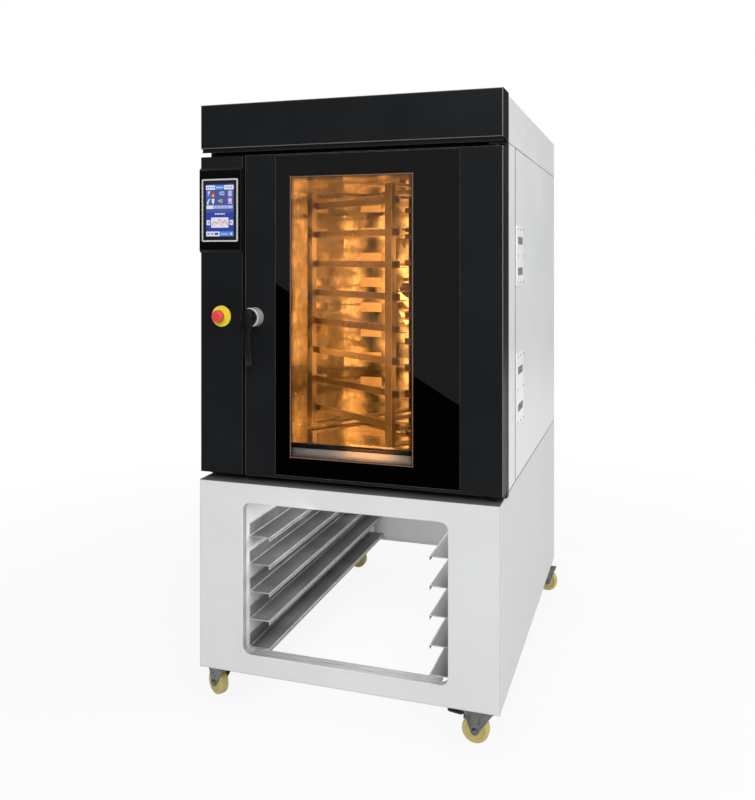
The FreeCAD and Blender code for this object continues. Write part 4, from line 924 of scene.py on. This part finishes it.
@finish
def lit_pixels(tree, colour):
    """A glowing colour, dimmer between its pixels."""
    spot = object_spot(tree)
    across, along = [place(tree, "ShaderNodeTexWave", {"Vector": spot, "Scale": pixel_rate},
                           bands_direction=way)["Fac"] for way in ("X", "Z")]
    cell = maths("MULTIPLY", across, along)
    return {"Base Color": pixel_base, "Roughness": spread(cell, 0.2, 0.3),
            "Emission Color": colour_mix(cell, dimmed(colour, pixel_dim_share), colour),
            "Emission Strength": display_level}


picture_colours = {
    "ground": (0.035, 0.055, 0.42), "slate": (0.075, 0.105, 0.40), "sky": (0.08, 0.30, 0.86),
    "white": (0.86, 0.90, 1.0), "lilac": (0.40, 0.42, 0.85), "pink": (0.85, 0.48, 0.78),
    "yellow": (0.95, 0.83, 0.08), "red": (0.78, 0.06, 0.05), "orange": (0.95, 0.42, 0.12),
    "green": (0.35, 0.80, 0.15), "magenta": (0.75, 0.08, 0.55)}
colour_order = list(picture_colours)
# All places in the picture are millimetres from its top left.
# Each row of blocks: layer, colour, top, foot, corner radius, and each block's left and right.
picture_rows = (
    (1, "ground", 0, 165, 2.0, ((0, 97),)), (2, "slate", 19, 90, 1.0, ((0, 97),)),
    (3, "white", 4, 18, 1.5, ((0, 32), (64, 97))), (3, "sky", 4, 18, 1.5, ((33, 63),)),
    (4, "sky", 9, 13, 0.5, ((3, 8), (10, 15), (17, 22), (24, 29), (77, 82), (86, 92))),
    (4, "white", 9, 14, 0.5, ((37, 41), (51, 54))), (4, "white", 8, 13, 0.5, ((44, 48), (57, 60))),
    (4, "green", 7, 13, 0.5, ((68, 73),)), (3, "lilac", 21, 40, 2.0, ((77, 92),)),
    (4, "white", 25, 27, 0.5, ((80, 89),)), (4, "white", 30, 32, 0.5, ((80, 86),)),
    (4, "white", 34, 36, 0.5, ((80, 89),)), (3, "pink", 45, 63, 2.0, ((78, 91),)),
    (4, "white", 49, 54, 1.0, ((81, 88),)), (4, "lilac", 57, 60, 0.5, ((81, 88),)),
    (3, "lilac", 67, 78, 1.0, ((2, 95),)), (4, "white", 67, 78, 1.0, ((2, 26),)),
    (4, "white", 71, 74, 0.5, ((32, 36), (44, 48), (56, 60), (68, 72), (80, 90))),
    (3, "white", 92, 96, 0.5, ((32, 37), (39, 45), (47, 52), (54, 60), (62, 66))),
    (3, "white", 105, 137, 2.0, ((18, 79),)), (3, "white", 113, 129, 1.5, ((2.5, 15), (83, 95))),
    (3, "white", 149, 164, 1.5, ((1, 48),)), (3, "sky", 149, 164, 1.5, ((49, 96),)),
    (4, "lilac", 153, 160, 1.0, ((5, 13), (17, 27))), (4, "ground", 153, 160, 1.0, ((31, 43),)),
    (4, "white", 155, 159, 0.5, ((54, 58), (62, 66), (70, 74))), (4, "magenta", 154, 160, 2.4, ((77, 82),)),
    (4, "white", 153, 160, 1.0, ((86, 92),)))
# Each shape: layer, colour and corners.
picture_shapes = [
    (3, "sky", ((4, 22), (17, 20), (13, 40), (4, 40))), (4, "white", ((6, 24), (15, 22), (9, 34))),
    (3, "red", ((20, 40), (19, 32), (23, 27), (24, 31), (26, 22), (30, 31), (30, 40))),
    (4, "yellow", ((22, 40), (22, 36), (25, 31), (28, 36), (28, 40))),
    (3, "white", ((4, 64), (4, 56), (12, 45), (15, 47), (9, 57), (9, 64))),
    (3, "white", ((20, 46), (30, 46), (29, 58), (25, 64), (21, 58))),
    (4, "sky", ((12, 116), (5.5, 121), (12, 126))), (4, "sky", ((86, 116), (92.5, 121), (86, 126)))]
# Each line: layer, colour, half its width and its points.
picture_lines = (
    (4, "red", 0.9, ((20, 132), (30, 117), (38, 125), (48, 110), (58, 123), (66, 113), (77, 131))),
    (5, "orange", 0.8, ((20, 121), (31, 129), (44, 117), (55, 131), (68, 119), (77, 123))))
# Each number: colour, digits, left and top. Its digits are drawn in seven bars, named a to g
# clockwise from the top with g in the middle.
picture_numbers = (("white", "100", 42, 24), ("yellow", "45", 43, 48))
digit_bars = {"0": "abcdef", "1": "bc", "4": "bcfg", "5": "acdfg"}
digit_layer = 3
digit_width = 6.2
digit_height = 11.0
digit_stroke = 1.7
digit_step = 8.0
digit_corner = 0.3
digit_inner = digit_width - digit_stroke
digit_foot = digit_height - digit_stroke
bar_top = digit_foot / 2
bar_foot = bar_top + digit_stroke
# Each bar: left, top, right and foot within its digit.
bar_places = {
    "a": (0, 0, digit_width, digit_stroke), "b": (digit_inner, digit_stroke, digit_width, bar_top),
    "c": (digit_inner, bar_foot, digit_width, digit_foot), "d": (0, digit_foot, digit_width, digit_height),
    "e": (0, bar_foot, digit_stroke, digit_foot), "f": (0, digit_stroke, digit_stroke, bar_top),
    "g": (0, bar_top, digit_width, bar_foot)}

for layer, colour, top, foot, corner, ends in picture_rows:
    for left, right in ends:
        picture_shapes.append((layer, colour, rounded_outline(left, top, right, foot, corner)))
for layer, colour, half, points in picture_lines:
    for first, second in zip(points, points[1:]):
        start, end = Vector(first), Vector(second)
        side = (end - start).normalized().orthogonal() * half
        picture_shapes.append((layer, colour, (start + side, end + side, end - side, start - side)))
for colour, digits, left, top in picture_numbers:
    for index, digit in enumerate(digits):
        start = left + digit_step * index
        for bar in digit_bars[digit]:
            x0, y0, x1, y1 = bar_places[bar]
            outline = rounded_outline(start + x0, top + y0, start + x1, top + y1, digit_corner)
            picture_shapes.append((digit_layer, colour, outline))


def display_picture(bm):
    for layer, colour, outline in picture_shapes:
        corners = [(picture_left + x * millimetre, display_low.y, picture_top - y * millimetre)
                   for x, y in outline]
        prism(bm, corners, (0, -layer * layer_height, 0), colour_order.index(colour))


add_piece("display_picture", display_picture,
          [lit_pixels("picture_" + name, colour) for name, colour in picture_colours.items()],
          "cabinet")

# Print dots and inner seal
# The door print ends in a row of clear dots, which glow amber by emission, painted light standing in for the
# chamber light seen through them, and three rows of ever smaller black dots. The inner pane is bedded in a
# black bead of silicone round its edge.
dot_sides = 10
dot_pitch = 0.0045
# Each row: its name, its inset from the print's edge, the dots' radius and the start of its first dot.
dot_rows = (("outer", 0.0016, 0.0016, 0.0), ("middle", 0.0050, 0.0013, 0.5), ("inner", 0.0082, 0.0009, 0.0))
clear_pitch = 0.008
clear_inset = -0.0032
clear_radius = 0.0017
# Painted light: the clear dots glow with the chamber's amber by emission.
clear_dot_painted_glow = lit_pixels("clear_dot_glow", (0.80, 0.44, 0.31))


def flat_dot(tree, given):
    return place(tree, "GeometryNodeMeshCylinder", {
        "Vertices": dot_sides, "Radius": given["Radius"], "Depth": given["Thickness"]})[0]


def row_around(box, inset, pitch, start=0.0):
    """Evenly spaced places on the sides of a box that is drawn in by an inset."""
    corners = [Vector(corner) for corner in rectangle(*drawn_in(box, inset))]
    made = []
    for first, second in zip(corners, corners[1:] + corners[:1]):
        count = round((second - first).length / pitch)
        made += [first.lerp(second, (index + start) / count) for index in range(count)]
    return made


flat_dots = point_tree("flat_dots", flat_dot, ("Radius", "Thickness"))
for name, inset, radius, start in dot_rows:
    row = row_around(window_box, inset, dot_pitch, start)
    grow("print_dots_" + name, [(x, print_back - print_thickness / 2, z) for x, z in row], flat_dots, "door",
         "black_glass", Facing=facing_back, Finish=fired_print, Radius=radius, Thickness=print_thickness)
clear_row = row_around(window_box, clear_inset, clear_pitch)
clear_depth = print_front - print_cover - print_thickness / 2
grow("print_clear_dots", [(x, clear_depth, z) for x, z in clear_row], flat_dots, "door", "clear_glass",
     Facing=facing_back, Finish=clear_dot_painted_glow, Radius=clear_radius, Thickness=print_thickness)

pane_low, pane_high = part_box("door_inner_glass")
pane_box = (pane_low.x, pane_low.z, pane_high.x, pane_high.z)
bead_corner = 0.012
bead_steps = 6
# The bead's section: places outward from the pane's edge and forward from the inner frame.
bead_section = ((-0.009, 0.0052), (-0.009, 0.0064), (-0.005, 0.0082), (0.002, 0.0082), (0.005, 0.0058),
                (0.0055, 0.0002), (0.0008, 0.0002), (0.0008, 0.0052))


def seal_bead(bm):
    rings = []
    for reach, rise in bead_section:
        outline = rounded_outline(*drawn_in(pane_box, -reach), bead_corner + reach, bead_steps)
        rings.append([bm.verts.new((x, pane_high.y - rise, z)) for x, z in outline])
    for first, second in zip(rings, rings[1:] + rings[:1]):
        close_between(bm, first, second)


bead_black = moulded_plastic("bead_black", grey(0.010), (0.025, 0.024, 0.023), (0.4, 0.6))
add_piece("inner_pane_seal", seal_bead, [bead_black], "door")

# Bolts and rivets
# Hexagon bolts with washers hold the caster plates; round rivets hold the left chamber wall.
# Each is a washer and a head on a point, turned to the side it is driven from.
washer_sides = 24
bolt_sides = 6
bolt_radius = 0.0052
bolt_height = 0.0045
bolt_reach = (0.0385, 0.031)
facing_down = (math.pi, 0.0, 0.0)
plate_underside = 0.113
caster_side = 0.425
caster_front = -0.5933
caster_rear = 0.6177
rivet_sides = 16
rivet_radius = 0.0034
rivet_height = 0.0028
rivet_first = 0.8154
rivet_pitch = 0.1013
rivet_count = 9
rivet_depth = -0.222
left_wall_face = -0.335


def bolt_head(tree, given):
    """A washer and a chamfered head with a chosen number of sides."""
    drums = []
    # Each drum: sides, then shares of the head's radius and height for its radius, height and middle.
    for sides, radius_share, height_share, middle_share in (
            (washer_sides, 1.55, 0.3, 0.15), (given["Sides"], 1.0, 0.8, 0.6),
            (given["Sides"], 0.8, 0.2, 1.1)):
        drum = place(tree, "GeometryNodeMeshCylinder", {
            "Vertices": sides, "Radius": maths("MULTIPLY", given["Radius"], radius_share),
            "Depth": maths("MULTIPLY", given["Height"], height_share)})
        lift = vector(tree, {2: maths("MULTIPLY", given["Height"], middle_share)})
        drums.append(moved(tree, drum, Translation=lift))
    return place(tree, "GeometryNodeJoinGeometry", {0: drums})[0]


bolt_heads = point_tree("bolt_heads", bolt_head, ("Radius", "Height"), ("Sides",))
bolt_spots = [(x + side * bolt_reach[0], y + end * bolt_reach[1], plate_underside)
              for x in (-caster_side, caster_side) for y in (caster_front, caster_rear)
              for side in (-1, 1) for end in (-1, 1)]
grow("caster_bolts", bolt_spots, bolt_heads, "cabinet", "zinc_steel", Facing=facing_down, Finish=zinc_plate,
     Sides=bolt_sides, Radius=bolt_radius, Height=bolt_height)
rivet_levels = [rivet_first + rivet_pitch * index for index in range(rivet_count)]
grow("wall_rivets", [(left_wall_face, rivet_depth, z) for z in rivet_levels], bolt_heads, "cabinet",
     "stainless_sheet", Facing=facing_right, Finish=chrome, Sides=rivet_sides, Radius=rivet_radius,
     Height=rivet_height)

# Lamp lenses
# Ribbed amber glass plates in the two windows of the right chamber wall, which glow by emission, painted
# light standing in for the lamps behind them.
# Each is a plate with upright ribs towards the chamber, set between the wall and its pane.
# Painted light: the lenses' glow is emission in their own material.
lens_painted_glow = 1.6
lens_base = (0.8, 0.5, 0.2)
lens_swirl_scale = 40.0
lens_back = 0.4268
lens_sheet = 0.0006
lens_rib = 0.0010
lens_rib_count = 12
lens_rib_steps = 6
lens_width = 0.094
lens_height = 0.084
lens_middle = -0.2953
lens_levels = (0.988, 1.410)


def lamp_lenses(bm):
    near = lens_middle - lens_width / 2
    steps = lens_rib_count * lens_rib_steps
    outline = [(lens_back, near + lens_width), (lens_back, near)]
    for step in range(steps + 1):
        wave = (1 - math.cos(2 * math.pi * step / lens_rib_steps)) / 2
        outline.append((lens_back - lens_sheet - lens_rib * wave, near + lens_width * step / steps))
    for level in lens_levels:
        prism(bm, [(x, y, level - lens_height / 2) for x, y in outline], (0, 0, lens_height))


@finish
def painted_glow_lens(tree, hot, cool):
    swirl = noise(object_spot(tree), lens_swirl_scale, detail=3.0)
    return {"Base Color": lens_base, "Roughness": spread(swirl, 0.08, 0.2),
            "Emission Color": colour_mix(swirl, hot, cool), "Emission Strength": lens_painted_glow}


add_piece("lamp_lenses", lamp_lenses, [painted_glow_lens("lamp_lens", (1.0, 0.62, 0.22), (1.0, 0.48, 0.12))],
          "cabinet")

# Rear louvres and screws
# Pressed hoods over the slots of the rear panel keep drips out, and screws hold the panel's edge.
# Each hood is a curved brow with a closed cheek at each end, in the panel's own coat.
rear_low, rear_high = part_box("rear_panel")
rear_face = rear_high.y
louvre_columns = (-0.2375, 0.2375)
louvre_rows = 9
louvre_pitch = 0.030
louvre_first = 1.589
louvre_length = 0.268
louvre_cheek = 0.0012
louvre_steps = 7
louvre_rise = 0.0085
louvre_drop = 0.006
louvre_reach = 0.0075
louvre_sheet = 0.001
rear_screw_inset = 0.014
rear_screw_pitch = 0.17
rear_screw_radius = 0.0045


def brow(reach, rise):
    """The side view of a hood, from the panel above the slot out and down to its lip."""
    points = []
    for step in range(louvre_steps + 1):
        share = step / louvre_steps
        angle = quarter_turn * share
        points.append((rear_face + reach * math.sin(angle), rise * math.cos(angle) - louvre_drop * share))
    return points


def rear_louvres(bm):
    inner = brow(louvre_reach - louvre_sheet, louvre_rise - louvre_sheet)
    hood = brow(louvre_reach, louvre_rise) + inner[::-1]
    cheek = inner + [(rear_face, -louvre_drop)]
    for column in louvre_columns:
        start = column - louvre_length / 2
        for row in range(louvre_rows):
            level = louvre_first - louvre_pitch * row
            prism(bm, [(start, y, level + z) for y, z in hood], (louvre_length, 0, 0))
            for x in (start, start + louvre_length - louvre_cheek):
                prism(bm, [(x, y, level + z) for y, z in cheek], (louvre_cheek, 0, 0))


add_piece("rear_louvres", rear_louvres, [light_grey_coat], "cabinet")
rear_box = (rear_low.x, rear_low.z, rear_high.x, rear_high.z)
rear_spots = [(x, rear_face, z) for x, z in row_around(rear_box, rear_screw_inset, rear_screw_pitch)]
grow("rear_screws", rear_spots, screw_heads, "cabinet", "zinc_steel", Facing=facing_back, Finish=zinc_plate,
     Radius=rear_screw_radius)
